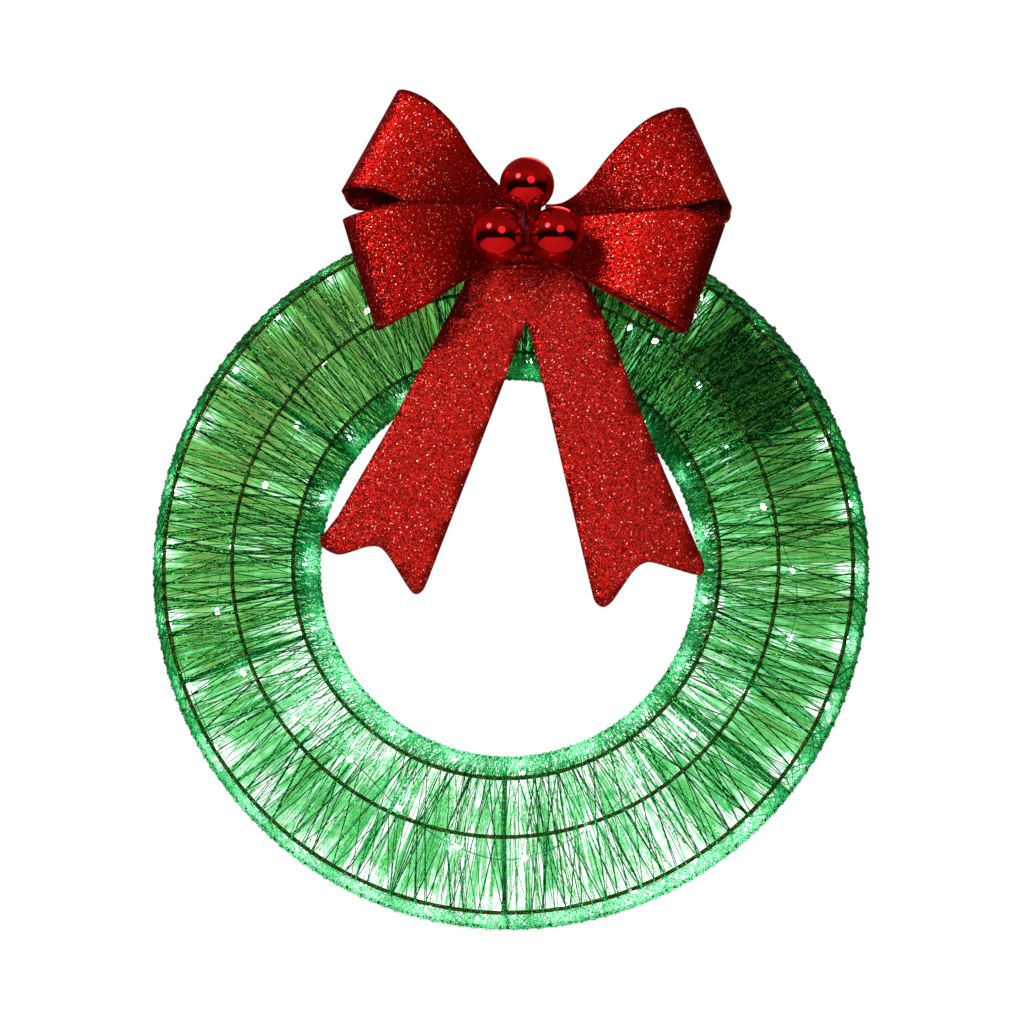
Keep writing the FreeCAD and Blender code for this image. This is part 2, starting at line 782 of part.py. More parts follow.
def cable_tie(name, along, low, high, head_side):
    """A plastic tie pulled round (along, z) from low to high, and as wide as a tie across."""
    play, thick, width = 0.2, number(s.tie_thickness), number(s.tie_width)
    (a0, z0), (a1, z1) = low, high
    blocks = []
    for grow in (play + thick, play):
        block = Part.makeBox(a1 - a0 + 2 * grow, width, z1 - z0 + 2 * grow)
        block.translate(Vector(a0 - grow, -width / 2, z0 - grow))
        blocks.append(block.makeFillet(0.45 * grow + 0.1, [e for e in block.Edges if is_across(e)]))
    band = blocks[0].cut(blocks[1])
    head = Part.makeBox(3.6, 4.0, 3.2)
    head.translate(Vector(head_side - 1.8, -2.0, z1 + play + 0.3))
    band = band.fuse(head).removeSplitter()
    thing = feature(name, band)
    node(thing, name, CASE_PLACE.multiply(along))


def is_across(edge):
    """True for an edge that runs along y."""
    ends = edge.Vertexes
    return abs(ends[0].Point.y - ends[1].Point.y) > 0.1


def make_ties():
    """Three plastic ties: two hold the case to the first strut and one to the back outer ring."""
    ear_mid = EAR_LOW + number(s.ear_thickness) / 2
    strut_angle = math.radians(number(s.case_angle) - HOOP_ANGLES[0])
    wire = number(s.hoop_wire) / 2
    bar_z = number(s.ring_wire) / 2 + wire - number(s.weld_bite)
    hole = number(CASE_END) + HOLE_NEAR + HOLE_WIDTH
    for i, y in enumerate(STRUT_EARS_Y, start=1):
        radius_along = (number(s.case_radius) + y) * math.tan(strut_angle)
        bar = radius_along + STRUT_SHIFT / math.cos(strut_angle)
        high = max(EAR_LOW + number(s.ear_thickness), bar_z + wire)
        low = min(EAR_LOW, bar_z - wire)
        place = Placement(Vector(0, y, 0), Rotation())
        cable_tie(f"strut_tie_{i}", place, (hole, low), (bar + wire + 0.4, high), hole + 4.0)
    ring = math.sqrt(number(s.back_outer_radius) ** 2 - RING_TIE_X**2) - number(s.case_radius)
    hole = number(CASE_SIDE) + HOLE_NEAR + HOLE_WIDTH
    reach = number(s.ring_wire) / 2
    place = Placement(Vector(RING_TIE_X, 0, 0), Rotation(Vector(0, 0, 1), 90))
    high = EAR_LOW + number(s.ear_thickness)
    cable_tie("ring_tie", place, (hole, -reach), (ring + reach + 0.2, high), hole + 5.0)


# ---------------------------------------------------------------- bow, tails and balls

WAIST_LEFT = s.bow_x - s.waist_length / 2
WAIST_RIGHT = s.bow_x + s.waist_length / 2
WAIST_TOP = s.bow_y + s.waist_height / 2
WAIST_LOW = s.bow_y - s.waist_height / 2

# Each lobe: the two ends of its outer fold, then the point of the slit beside it. Corners are
# (x, y) from the bow's waist.
LOBES = {
    "bow_lobe_upper_left": ((-94.0, 110.0), (-135.4, 32.0), (-87.0, 23.0)),
    "bow_lobe_lower_left": ((-109.0, -70.0), (-133.6, 13.0), (-87.0, 21.0)),
    "bow_lobe_upper_right": ((122.8, 91.0), (153.0, 17.5), (115.0, 16.8)),
    "bow_lobe_lower_right": ((120.0, -75.6), (148.2, 5.2), (115.0, 15.0)),
}


def lobe_profile(reach):
    """The loop that a lobe's sheet makes, seen along its fold: u outward and z to the front."""
    middle = number(s.waist_depth) + number(s.tab_thickness) / 2
    low = middle + number(s.lobe_lift)
    thick = number(s.sheet_thickness)
    corners = [
        (4.0, middle + 1.2),
        (0.22 * reach, middle + 5.0),
        (0.48 * reach, middle + number(s.lobe_bulge)),
        (0.72 * reach, middle + number(s.lobe_bulge) - 2.0),
        (reach, low + number(s.lobe_nose)),
        (reach, low),
        (0.45 * reach, middle + 1.0),
        (4.0, middle - 1.0),
    ]
    outer, _ = bent_path([Vector(u, 0, z) for u, z in corners], closed=True)
    inner = outer.makeOffset2D(-thick)
    return Part.makeFace([outer, inner], "Part::FaceMakerBullseye")


def make_lobes():
    for name, (far, near, slit) in LOBES.items():
        far, near, slit = (Vector(x, y, 0) for x, y in (far, near, slit))
        fold = far - near
        fold.normalize()
        outward = fold.cross(Vector(0, 0, 1))
        if outward.dot(near) < 0:
            outward = outward * -1
        reach = outward.dot(near)
        turn = math.degrees(math.atan2(outward.y, outward.x))
        band = lobe_profile(reach).extrude(Vector(0, 400, 0))
        band.translate(Vector(0, -200, 0))
        band.rotate(Vector(0, 0, 0), Vector(0, 0, 1), turn)
        side = 1 if near.x > 0 else -1
        up = 1 if far.y > 0 else -1
        half = number(s.waist_length) / 2
        waist_mid = Vector(side * half, up * 0.2, 0)
        waist_end = Vector(side * half, up * number(s.waist_height) / 2, 0)
        spread = outward * 30
        outline = [waist_mid, slit, near, near + spread, far + spread, far, waist_end]
        prism = Part.Face(Part.makePolygon([*outline, outline[0]])).extrude(Vector(0, 0, 200))
        waist = Placement(Vector(number(s.bow_x), number(s.bow_y), 0), Rotation())
        node(feature(name, band.common(prism)), name, waist)


TAIL_OUTLINE = [
    # over the top, behind the bow
    (-31, 203), (-24, 219), (-6, 235), (17, 241), (40, 235), (57, 219), (66, 201),
    # right tail, down its outer edge and back up its inner edge
    (99, 117), (147.4, -3), (147, -9), (142, -11.6), (115, -3.6), (106, -2.8), (98, -6.5),
    (79.5, -32), (73.2, -35), (67, -31), (61, -6), (45, 63), (30.3, 128),
    # the point of the split, then the left tail
    (17.4, 178),
    (0, 131), (-48, 5), (-59, -22), (-64, -25), (-68.5, -22), (-87, 6.5), (-94, 10.4), (-102, 9.3),
    (-121, 4.4), (-128, 6.6), (-135.6, 12), (-136, 17), (-123, 33), (-82, 104),
]


def make_tails():
    tab = box(
        "bow_waist",
        s.waist_length,
        s.waist_height,
        s.tab_thickness,
        (WAIST_LEFT, WAIST_LOW, s.waist_depth),
    )
    node_at(tab, "bow_waist")
    body = new_body("bow_tails")
    outline = new_sketch(body, "XY_Plane", "tails_outline", s.tail_depth)
    polygon(outline, [(float(x), float(y)) for x, y in TAIL_OUTLINE])
    pad(body, outline, s.sheet_thickness)
    node(body, "bow_tails")


def ball_places():
    """The centres of the three balls: one above and two below, facing the front."""
    across, up = number(s.bow_x + s.ball_shift), number(s.bow_y + s.ball_rise)
    middle = Vector(across, up, number(s.ball_depth))
    reach = number(s.ball_spacing) / math.sqrt(3)
    return [middle + polar(reach, angle) for angle in (90.0, 210.0, 330.0)], middle


def make_balls():
    """Three hollow balls. Each has a cap that leans in and back, and its stem joins the knot."""
    places, middle = ball_places()
    knot = Vector(middle.x, middle.y, number(s.waist_depth) + 3.0)
    radius = number(s.ball_diameter) / 2
    cap_radius = number(s.cap_diameter) / 2
    neck = math.sqrt(radius**2 - cap_radius**2)
    neck = Size(neck, repr(neck))
    for i, centre in enumerate(places, start=1):
        inward = knot - centre
        inward.normalize()
        turn = Rotation(Vector(0, 0, 1), inward)
        at = Placement(centre, turn)
        ball = Part.makeSphere(radius).cut(Part.makeSphere(radius - number(s.ball_wall)))
        ball = ball.cut(Part.makeCylinder(cap_radius - 1.0, radius))
        node(feature(f"ball_{i}", ball), f"ball_{i}", at)
        cap = turned(
            f"ball_cap_{i}",
            [
                (0, neck + 0.5),
                (s.cap_diameter / 2, neck + 0.5),
                (s.cap_diameter / 2, neck + s.cap_height * 0.55),
                (s.cap_diameter / 2 - 1.0, neck + s.cap_height * 0.7),
                (0, neck + s.cap_height * 0.7),
            ],
        )
        node(cap, f"ball_cap_{i}", at)


def make_bow_wire():
    """The wire over the waist: round the front outer ring behind and twisted off inside."""
    wire = number(s.tie_wire)
    x = number(s.bow_x)
    front = number(s.waist_depth) + number(s.tab_thickness) + wire / 2 + 0.2
    ring_y = math.sqrt(number(s.front_outer_radius) ** 2 - x**2)
    ring_z = number(s.front_outer_depth)
    room = number(s.ring_wire) / 2 + wire / 2 + 0.4
    corners = [
        (number(s.bow_y) - 6.0, front),
        (number(WAIST_TOP) + 2.4, front),
        (ring_y + room, ring_z + 3.0),
        (ring_y + room, ring_z - room),
        (ring_y - room, ring_z - room),
        (ring_y - room, ring_z + 4.5),
    ]
    path, _ = bent_path([Vector(x, y, z) for y, z in corners], bend=2.4)
    node(feature("bow_wire", wire_along(path, wire)), "bow_wire")


# ---------------------------------------------------------------- everything

make_rings()
make_hoops()
make_winding()
make_hanger()
make_string()
make_case()
make_lids()
make_electronics()
make_cells()
make_ties()
make_lobes()
make_tails()
make_balls()
make_bow_wire()
doc.recompute()

for thing in doc.Objects:
    if "Invalid" in thing.State or "Error" in thing.State:
        raise RuntimeError(f"{thing.Label} did not compute: {thing.State}")
os.makedirs("parts", exist_ok=True)
for thing in NODES:
    if thing.Shape.isNull() or not thing.Shape.isValid() or not thing.Shape.Solids:
        raise RuntimeError(f"{thing.Label} is not a valid solid")
    thing.Shape.exportStep(f"parts/{thing.Label}.step")
print(f"{len(NODES)} parts written")
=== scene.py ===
"""Looks for the lighted wreath: its winding of tinsel thread, lights, bow, tails and balls.

The wreath's own plane is x to the right and y up, with z out of its front and the centre of its
hole at the origin, in millimetres. at() turns such a point into the model's frame, in metres.
"""

import bpy
import bmesh
import math
import random
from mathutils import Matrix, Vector


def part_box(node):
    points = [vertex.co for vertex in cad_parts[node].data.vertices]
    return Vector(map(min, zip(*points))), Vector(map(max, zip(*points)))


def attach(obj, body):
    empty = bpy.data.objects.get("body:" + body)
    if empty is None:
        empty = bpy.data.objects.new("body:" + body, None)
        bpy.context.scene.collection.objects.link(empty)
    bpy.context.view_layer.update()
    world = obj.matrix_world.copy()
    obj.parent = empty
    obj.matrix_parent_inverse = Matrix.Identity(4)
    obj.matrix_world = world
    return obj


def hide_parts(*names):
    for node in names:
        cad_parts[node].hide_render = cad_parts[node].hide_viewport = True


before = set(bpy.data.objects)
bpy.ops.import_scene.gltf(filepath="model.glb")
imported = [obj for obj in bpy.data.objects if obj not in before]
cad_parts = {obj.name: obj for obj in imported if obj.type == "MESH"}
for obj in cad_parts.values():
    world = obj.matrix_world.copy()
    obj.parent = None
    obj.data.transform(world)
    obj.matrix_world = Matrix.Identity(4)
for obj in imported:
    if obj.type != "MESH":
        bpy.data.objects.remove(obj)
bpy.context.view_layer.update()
scene = bpy.context.scene
MM = 0.001

# ------------------------------------------------------------------ the wreath's own plane


def between(low, value, high):
    return min(high, max(low, value))


def middle_of(name):
    low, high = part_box(name)
    return (Vector(low) + Vector(high)) / 2


CENTRE = middle_of("crown_ring")
BACK_Y = middle_of("back_outer_ring").y


def at(x, y, z):
    """A point of the wreath's plane, in the model's frame."""
    return Vector((CENTRE.x + x * MM, BACK_Y - z * MM, CENTRE.z + y * MM))


def polar(radius, degrees, depth):
    angle = math.radians(degrees)
    return at(radius * math.cos(angle), radius * math.sin(angle), depth)


def ring_section(name):
    """A ring wire's radius and depth."""
    low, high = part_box(name)
    wire = (high[1] - low[1]) / 2
    return ((high[0] - low[0]) / 2 - wire) / MM, (BACK_Y - (low[1] + high[1]) / 2) / MM


RINGS = ["back_outer_ring", "front_outer_ring", "crown_ring", "front_inner_ring", "back_inner_ring"]
SECTION = [ring_section(name) for name in RINGS]
RING_WIRE = (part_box("crown_ring")[1][1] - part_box("crown_ring")[0][1]) / 2 / MM
ARCH_ANGLES = [26.0, 85.0, 145.0, 200.0, 270.0, 321.0]  # degrees, from +x towards +y

# ------------------------------------------------------------------ materials


def new_material(name):
    """A material, with its nodes, its links and its shader."""
    material = bpy.data.materials.new(name)
    material.use_nodes = True
    tree = material.node_tree
    return material, tree.nodes, tree.links, tree.nodes["Principled BSDF"]


def add(nodes, kind, **values):
    """A new node, with values given to its sockets or, failing that, to its settings."""
    made = nodes.new(kind)
    for name, value in values.items():
        if name in made.inputs:
            made.inputs[name].default_value = value
        else:
            setattr(made, name, value)
    return made


def object_coordinates(nodes):
    return add(nodes, "ShaderNodeTexCoord").outputs["Object"]


def ramp(nodes, links, source, stops):
    """Colours by a value from 0 to 1, from (value, colour) stops."""
    made = add(nodes, "ShaderNodeValToRGB")
    elements = made.color_ramp.elements
    while len(elements) < len(stops):
        elements.new(0.5)
    for element, (place, colour) in zip(elements, stops):
        element.position = place
        element.color = (*colour, 1.0)
    links.new(source, made.inputs["Fac"])
    return made.outputs["Color"]


def bump(nodes, links, height, strength, distance):
    made = add(nodes, "ShaderNodeBump", Strength=strength, Distance=distance)
    links.new(height, made.inputs["Height"])
    return made.outputs["Normal"]


def cells(nodes, links, size):
    """Voronoi cells of that size, in metres, with a random colour each."""
    made = add(nodes, "ShaderNodeTexVoronoi", Scale=1.0 / size)
    links.new(object_coordinates(nodes), made.inputs["Vector"])
    return made


def noise(nodes, links, size):
    """Soft patches of about that size, in metres."""
    made = add(nodes, "ShaderNodeTexNoise", Scale=1.0 / size, Detail=3.0)
    links.new(object_coordinates(nodes), made.inputs["Vector"])
    return made.outputs["Fac"]


RED, GREEN, BLUE = 0, 1, 2


def channel_of(nodes, links, colour, channel):
    """One channel of a random colour, as a random value from 0 to 1."""
    made = add(nodes, "ShaderNodeSeparateColor")
    links.new(colour, made.inputs["Color"])
    return made.outputs[channel]


def combine(nodes, links, first, second, operation):
    """Two values multiplied or added."""
    made = add(nodes, "ShaderNodeMath", operation=operation)
    for socket, value in zip(made.inputs, (first, second)):
        links.new(value, socket)
    return made.outputs[0]


def tilted(nodes, links, colour, amount):
    """A surface normal that leans a random way in each flake."""
    lean = add(nodes, "ShaderNodeVectorMath", operation="SUBTRACT")
    links.new(colour, lean.inputs[0])
    lean.inputs[1].default_value = (0.5, 0.5, 0.5)
    scaled = add(nodes, "ShaderNodeVectorMath", operation="SCALE")
    links.new(lean.outputs[0], scaled.inputs[0])
    scaled.inputs["Scale"].default_value = amount
    total = add(nodes, "ShaderNodeVectorMath", operation="ADD")
    links.new(add(nodes, "ShaderNodeNewGeometry").outputs["Normal"], total.inputs[0])
    links.new(scaled.outputs[0], total.inputs[1])
    unit = add(nodes, "ShaderNodeVectorMath", operation="NORMALIZE")
    links.new(total.outputs[0], unit.inputs[0])
    return unit.outputs[0]


# A point's painted glow values, which stand in for the light the lamps would give it.
def painted_glow_attribute(nodes, name="painted_glow"):
    return add(nodes, "ShaderNodeAttribute", attribute_name=name).outputs["Fac"]


def spread_out(nodes, links, value, low, high):
    """value, which runs from 0 to 1, moved to run from low to high."""
    spread = add(nodes, "ShaderNodeMapRange")
    links.new(value, spread.inputs["Value"])
    spread.inputs["To Min"].default_value = low
    spread.inputs["To Max"].default_value = high
    return spread.outputs[0]


def tinsel(name, dark, bright, share, painted_glow_colours, flake=0.0011):
    """Metallic thread: a share of its flakes is bright, and all take a painted glow where their glow
    values are high.
    """
    material, nodes, links, shader = new_material(name)
    flakes = cells(nodes, links, flake)
    pick = channel_of(nodes, links, flakes.outputs["Color"], RED)
    stops = [(0.0, dark), (1.0 - share, dark), (1.06 - share, bright), (1.0, bright)]
    links.new(ramp(nodes, links, pick, stops), shader.inputs["Base Color"])
    shader.inputs["Metallic"].default_value = 0.7
    shader.inputs["Roughness"].default_value = 0.32
    shader.inputs["Specular Tint"].default_value = (0.2, 0.7, 0.25, 1.0)
    links.new(tilted(nodes, links, flakes.outputs["Color"], 0.9), shader.inputs["Normal"])
    other = channel_of(nodes, links, flakes.outputs["Color"], BLUE)
    change = spread_out(nodes, links, other, 0.72, 1.22)
    # Painted glow: emission in place of the lights' glow, by each point's glow value, varied flake
    # by flake.
    level = combine(nodes, links, painted_glow_attribute(nodes), change, "MULTIPLY")
    lit = ramp(nodes, links, level, painted_glow_colours)
    links.new(lit, shader.inputs["Emission Color"])
    shader.inputs["Emission Strength"].default_value = 1.0
    return material


def painted_glow_film(name, cool, warm):
    """Thin green film with painted glow: cool and warm are its glow colours, mixed by warmth."""
    material, nodes, links, shader = new_material(name)
    patches = noise(nodes, links, 0.012)
    stops = [(0.3, (0.004, 0.04, 0.006)), (0.7, (0.012, 0.08, 0.015))]
    links.new(ramp(nodes, links, patches, stops), shader.inputs["Base Color"])
    shader.inputs["Roughness"].default_value = 0.4
    shader.inputs["Metallic"].default_value = 0.3
    links.new(bump(nodes, links, noise(nodes, links, 0.003), 0.4, 0.001), shader.inputs["Normal"])
    change = spread_out(nodes, links, noise(nodes, links, 0.010), 0.55, 1.45)
    level = combine(nodes, links, painted_glow_attribute(nodes), change, "MULTIPLY")
    mix = add(nodes, "ShaderNodeMix", data_type="RGBA")
    links.new(painted_glow_attribute(nodes, "painted_glow_warmth"), mix.inputs["Factor"])
    links.new(ramp(nodes, links, level, cool), mix.inputs["A"])
    links.new(ramp(nodes, links, level, warm), mix.inputs["B"])
    links.new(mix.outputs["Result"], shader.inputs["Emission Color"])
    shader.inputs["Emission Strength"].default_value = 1.0
    return material


def glitter(name, deep, bright, flake, roughness, lean, plain):
    """Glitter on a stiff sheet: fine tilted flakes, and a few larger bright ones."""
    material, nodes, links, shader = new_material(name)
    fine = cells(nodes, links, flake)
    pick = channel_of(nodes, links, fine.outputs["Color"], RED)
    shades = ramp(nodes, links, pick, [(0.0, deep), (0.4, deep), (1.0, bright)])
    large = cells(nodes, links, flake * 1.25)
    chosen = channel_of(nodes, links, large.outputs["Color"], GREEN)
    mask = ramp(nodes, links, chosen, [(plain, (0, 0, 0)), (plain + 0.004, (1, 1, 1))])
    mix = add(nodes, "ShaderNodeMix", data_type="RGBA")
    links.new(mask, mix.inputs["Factor"])
    links.new(shades, mix.inputs["A"])
    mix.inputs["B"].default_value = (1.0, 0.30, 0.26, 1.0)
    links.new(mix.outputs["Result"], shader.inputs["Base Color"])
    shader.inputs["Metallic"].default_value = 0.85
    shader.inputs["Roughness"].default_value = roughness
    shader.inputs["Specular Tint"].default_value = (0.7, 0.02, 0.02, 1.0)
    links.new(tilted(nodes, links, fine.outputs["Color"], lean), shader.inputs["Normal"])
    return material


def plastic(name, colour, roughness=0.45, grain=0.0008, metallic=0.0):
    """Moulded plastic or painted metal with fine texture and a little variation."""
    material, nodes, links, shader = new_material(name)
    patches = noise(nodes, links, 0.02)
    shade = tuple(c * 0.75 for c in colour)
    shades = ramp(nodes, links, patches, [(0.3, shade), (0.7, colour)])
    links.new(shades, shader.inputs["Base Color"])
    shader.inputs["Roughness"].default_value = roughness
    shader.inputs["Metallic"].default_value = metallic
    links.new(bump(nodes, links, noise(nodes, links, grain), 0.25, 0.0002), shader.inputs["Normal"])
    return material


def light_glass():
    """A clear bead over a lit diode, white and mint."""
    material, nodes, links, shader = new_material("light_glass")
    shader.inputs["Base Color"].default_value = (0.8, 1.0, 0.9, 1.0)
    shader.inputs["Roughness"].default_value = 0.12
    patches = noise(nodes, links, 0.002)
    lit = ramp(nodes, links, patches, [(0.45, (1.0, 1.0, 1.0)), (0.7, (0.45, 1.0, 0.65))])
    links.new(lit, shader.inputs["Emission Color"])
    shader.inputs["Emission Strength"].default_value = 9.0
    return material


def mirror_red():
    """Red lacquer over a mirror, with the faint mottling of a blown ball."""
    material, nodes, links, shader = new_material("mirror_red")
    mottle = noise(nodes, links, 0.012)
    stops = [(0.3, (0.48, 0.001, 0.002)), (0.7, (0.62, 0.002, 0.004))]
    links.new(ramp(nodes, links, mottle, stops), shader.inputs["Base Color"])
    shader.inputs["Metallic"].default_value = 1.0
    shader.inputs["Roughness"].default_value = 0.07
    shader.inputs["Specular Tint"].default_value = (0.8, 0.03, 0.03, 1.0)
    shader.inputs["Coat Weight"].default_value = 0.12
    shader.inputs["Coat Roughness"].default_value = 0.04
    links.new(bump(nodes, links, noise(nodes, links, 0.02), 0.06, 0.002), shader.inputs["Normal"])
    return material


# Painted glow colours of the winding, by how strongly it glows: emission in place of the lights'
# glow.
PAINTED_GLOW_COOL = [
    (0.0, (0.001, 0.012, 0.003)),
    (0.20, (0.008, 0.09, 0.015)),
    (0.45, (0.030, 0.34, 0.06)),
    (0.65, (0.09, 0.62, 0.17)),
    (0.82, (0.30, 0.88, 0.44)),
    (0.93, (0.80, 1.05, 0.90)),
    (1.0, (1.2, 1.3, 1.25)),
]
PAINTED_GLOW_WARM = [
    (0.0, (0.006, 0.010, 0.001)),
    (0.20, (0.10, 0.13, 0.02)),
    (0.45, (0.22, 0.38, 0.07)),
    (0.65, (0.26, 0.62, 0.14)),
    (0.82, (0.38, 0.88, 0.42)),
    (0.93, (0.85, 1.05, 0.88)),
    (1.0, (1.2, 1.3, 1.25)),
]
WALL_PAINTED_GLOW = [
    (0.0, (0.0, 0.004, 0.001)),
    (0.35, (0.0, 0.06, 0.01)),
    (0.6, (0.006, 0.24, 0.05)),
    (0.8, (0.02, 0.52, 0.15)),
    (0.93, (0.07, 0.84, 0.31)),
    (1.0, (0.42, 1.1, 0.68)),
]
BACK_PAINTED_GLOW = [
    (0.0, (0.002, 0.006, 0.001)),
    (0.35, (0.02, 0.07, 0.01)),
    (0.6, (0.05, 0.25, 0.04)),
    (0.8, (0.10, 0.54, 0.15)),
    (0.93, (0.34, 0.92, 0.46)),
    (1.0, (1.05, 1.2, 1.05)),
]
THREAD_PAINTED_GLOW = [
    (0.0, (0.0, 0.0, 0.0)),
    (0.5, (0.0, 0.010, 0.001)),
    (0.75, (0.002, 0.12, 0.025)),
    (0.9, (0.035, 0.58, 0.19)),
    (1.0, (0.42, 1.1, 0.68)),
]
# One tinsel thread in shaded and lit copies: darker front as painted shade, lighter back and walls
# as painted light.
front_thread = tinsel(
    "front_thread", (0.0010, 0.008, 0.0012), (0.05, 0.46, 0.08), 0.20, THREAD_PAINTED_GLOW
)
back_thread = tinsel("back_thread", (0.006, 0.05, 0.006), (0.05, 0.38, 0.07), 0.5, BACK_PAINTED_GLOW)
wall_thread = tinsel("wall_thread", (0.002, 0.035, 0.006), (0.04, 0.50, 0.11), 0.4, WALL_PAINTED_GLOW)
film = painted_glow_film("lining_film", PAINTED_GLOW_COOL, PAINTED_GLOW_WARM)
wrapped_wire = tinsel(
    "wrapped_wire", (0.016, 0.022, 0.003), (0.10, 0.16, 0.02), 0.3, THREAD_PAINTED_GLOW, 0.0008
)
# Lighter copy of the thread as painted light, with a faint even painted glow from its ramp's lowest
# colour.
wrapped_strut = tinsel(
    "wrapped_strut", (0.006, 0.09, 0.015), (0.05, 0.46, 0.10), 0.5,
    [(0.0, (0.0, 0.045, 0.008)), (1.0, (0.0, 0.09, 0.02))], 0.0009,
)
bow_red = glitter(
    "bow_red", (0.11, 0.0014, 0.0008), (0.60, 0.011, 0.007), 0.00055, 0.30, 0.48, 0.972
)
tail_red = glitter(
    "tail_red", (0.18, 0.004, 0.003), (0.76, 0.028, 0.018), 0.00068, 0.36, 0.7, 0.975
)
ball_red = mirror_red()
bead_light = light_glass()
clear_wire = plastic("clear_wire", (0.10, 0.32, 0.12), 0.25, 0.002, 0.3)
case_green = plastic("case_green", (0.026, 0.066, 0.004), 0.75, 0.0006)
pale_button = plastic("pale_button", (0.50, 0.51, 0.50), 0.35)
dark_plastic = plastic("dark_plastic", (0.02, 0.02, 0.02), 0.4)
board_green = plastic("board_green", (0.02, 0.14, 0.05), 0.35, 0.001)
cell_jacket = plastic("cell_jacket", (0.05, 0.05, 0.06), 0.25, 0.002, 0.3)
bright_metal = plastic("bright_metal", (0.70, 0.69, 0.66), 0.25, 0.001, 1.0)
nylon = plastic("nylon", (0.010, 0.045, 0.010), 0.45)
bow_tie = plastic("bow_tie", (0.020, 0.004, 0.003), 0.5, 0.0007, 0.4)
gold_cap = plastic("gold_cap", (0.60, 0.40, 0.14), 0.3, 0.001, 1.0)


def paint(name, material):
    """Gives a CAD node's own object a finish."""
    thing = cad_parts[name]
    thing.data.materials.clear()
    thing.data.materials.append(material)


# ------------------------------------------------------------------ meshes


def new_piece(name, points, faces, material, body="wreath", smooth=False):
    """A mesh that rides a body."""
    mesh = bpy.data.meshes.new(name)
    mesh.from_pydata([tuple(p) for p in points], [], faces)
    mesh.materials.append(material)
    if smooth:
        mesh.polygons.foreach_set("use_smooth", [True] * len(mesh.polygons))
    mesh.update()
    piece = bpy.data.objects.new(name, mesh)
    scene.collection.objects.link(piece)
    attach(piece, body)
    return piece


def set_values(piece, name, values):
    """Gives each point of a piece a value, which its material reads by that name."""
    attribute = piece.data.attributes.new(name, "FLOAT", "POINT")
    attribute.data.foreach_set("value", values)


def thicken(piece, thickness, offset):
    """Gives a sheet its thickness, centred on it where offset is 0 and behind it where it is -1."""
    solid = piece.modifiers.new("thickness", "SOLIDIFY")
    solid.thickness = thickness * MM
    solid.offset = offset


SIDE_HINT = Vector((0.31, 0.87, 0.38))  # a direction that hardly any thread lies along


class Strands:
    """Gathers many thin threads into one mesh."""

    def __init__(self):
        self.points, self.faces, self.painted_glow = [], [], []

    def add(self, path, radius, phase, twist, glows, closed=False, sides=3):
        """One thread of that radius along path, its facets turned by twist at each point."""
        first = len(self.points)
        count = len(path)
        for i, point in enumerate(path):
            before = path[i - 1] if i or closed else point
            after = path[(i + 1) % count] if closed or i + 1 < count else point
            along = (after - before).normalized()
            side = along.cross(SIDE_HINT).normalized()
            up = along.cross(side)
            turn = phase + twist * i
            for k in range(sides):
                angle = turn + 2 * math.pi * k / sides
                self.points.append(point + (side * math.cos(angle) + up * math.sin(angle)) * radius)
                self.painted_glow.append(glows[i])
        for i in range(count if closed else count - 1):
            a, b = first + i * sides, first + (i + 1) % count * sides
            for k in range(sides):
                n = (k + 1) % sides
                self.faces.append((a + k, a + n, b + n, b + k))
        if not closed:
            self.faces.append(tuple(first + k for k in reversed(range(sides))))
            last = first + (count - 1) * sides
            self.faces.append(tuple(last + k for k in range(sides)))

    def piece(self, name, material):
        made = new_piece(name, self.points, self.faces, material)
        set_values(made, "painted_glow", self.painted_glow)
        return made


# ------------------------------------------------------------------ lights of the string


SAME_LIGHT = 0.006  # parts of the beads' mesh closer than this, in metres, are one light


def bead_middles():
    """Where each light is, from the loose parts of the light beads' mesh."""
    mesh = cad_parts["light_beads"].data
    built = bmesh.new()
    built.from_mesh(mesh)
    built.verts.ensure_lookup_table()
    seen, middles = set(), []
    for vertex in built.verts:
        if vertex.index in seen:
            continue
        group, stack = [], [vertex]
        seen.add(vertex.index)
        while stack:
            here = stack.pop()
            group.append(here.co)
            for edge in here.link_edges:
                other = edge.other_vert(here)
                if other.index not in seen:
                    seen.add(other.index)
                    stack.append(other)
        low = Vector([min(p[k] for p in group) for k in range(3)])
        high = Vector([max(p[k] for p in group) for k in range(3)])
        middles.append((low + high) / 2)
    built.free()
    merged = []
    for middle in middles:
        if all((middle - other).length > SAME_LIGHT for other in merged):
            merged.append(middle)
    return merged


BEADS = bead_middles()
paint("light_beads", bead_light)
paint("string_wire", clear_wire)


# Round the wreath: (degrees, painted brightness outside the crown ring and inside it, warmth of the
# painted glow's colour, and how dense the winding is). The painted light is highest round the
# bottom.
AROUND = [
    (0, 0.58, 0.72, 0.45, 1.0),
    (24, 0.42, 0.60, 0.35, 1.2),
    (34, 0.28, 0.50, 0.40, 2.4),
    (56, 0.30, 0.50, 0.15, 2.0),
    (85, 0.38, 0.50, 0.05, 1.5),
    (110, 0.38, 0.50, 0.60, 1.1),
    (140, 0.44, 0.52, 0.85, 1.0),
    (165, 0.62, 0.62, 0.70, 1.0),
    (190, 0.52, 0.80, 0.50, 1.2),
    (212, 0.85, 1.06, 0.10, 0.9),
    (240, 0.92, 0.94, 0.0, 0.9),
    (280, 0.89, 0.99, 0.0, 0.95),
    (300, 1.10, 0.93, 0.0, 1.0),
    (325, 0.72, 0.84, 0.15, 1.0),
    (360, 0.58, 0.72, 0.45, 1.0),
]


def around(degrees):
    """Both painted brightnesses, the painted glow's warmth and the density at that angle."""
    degrees %= 360.0
    for (d0, *first), (d1, *second) in zip(AROUND, AROUND[1:]):
        if degrees <= d1:
            t = (degrees - d0) / (d1 - d0)
            return [a + (b - a) * t for a, b in zip(first, second)]
    return AROUND[-1][1:]


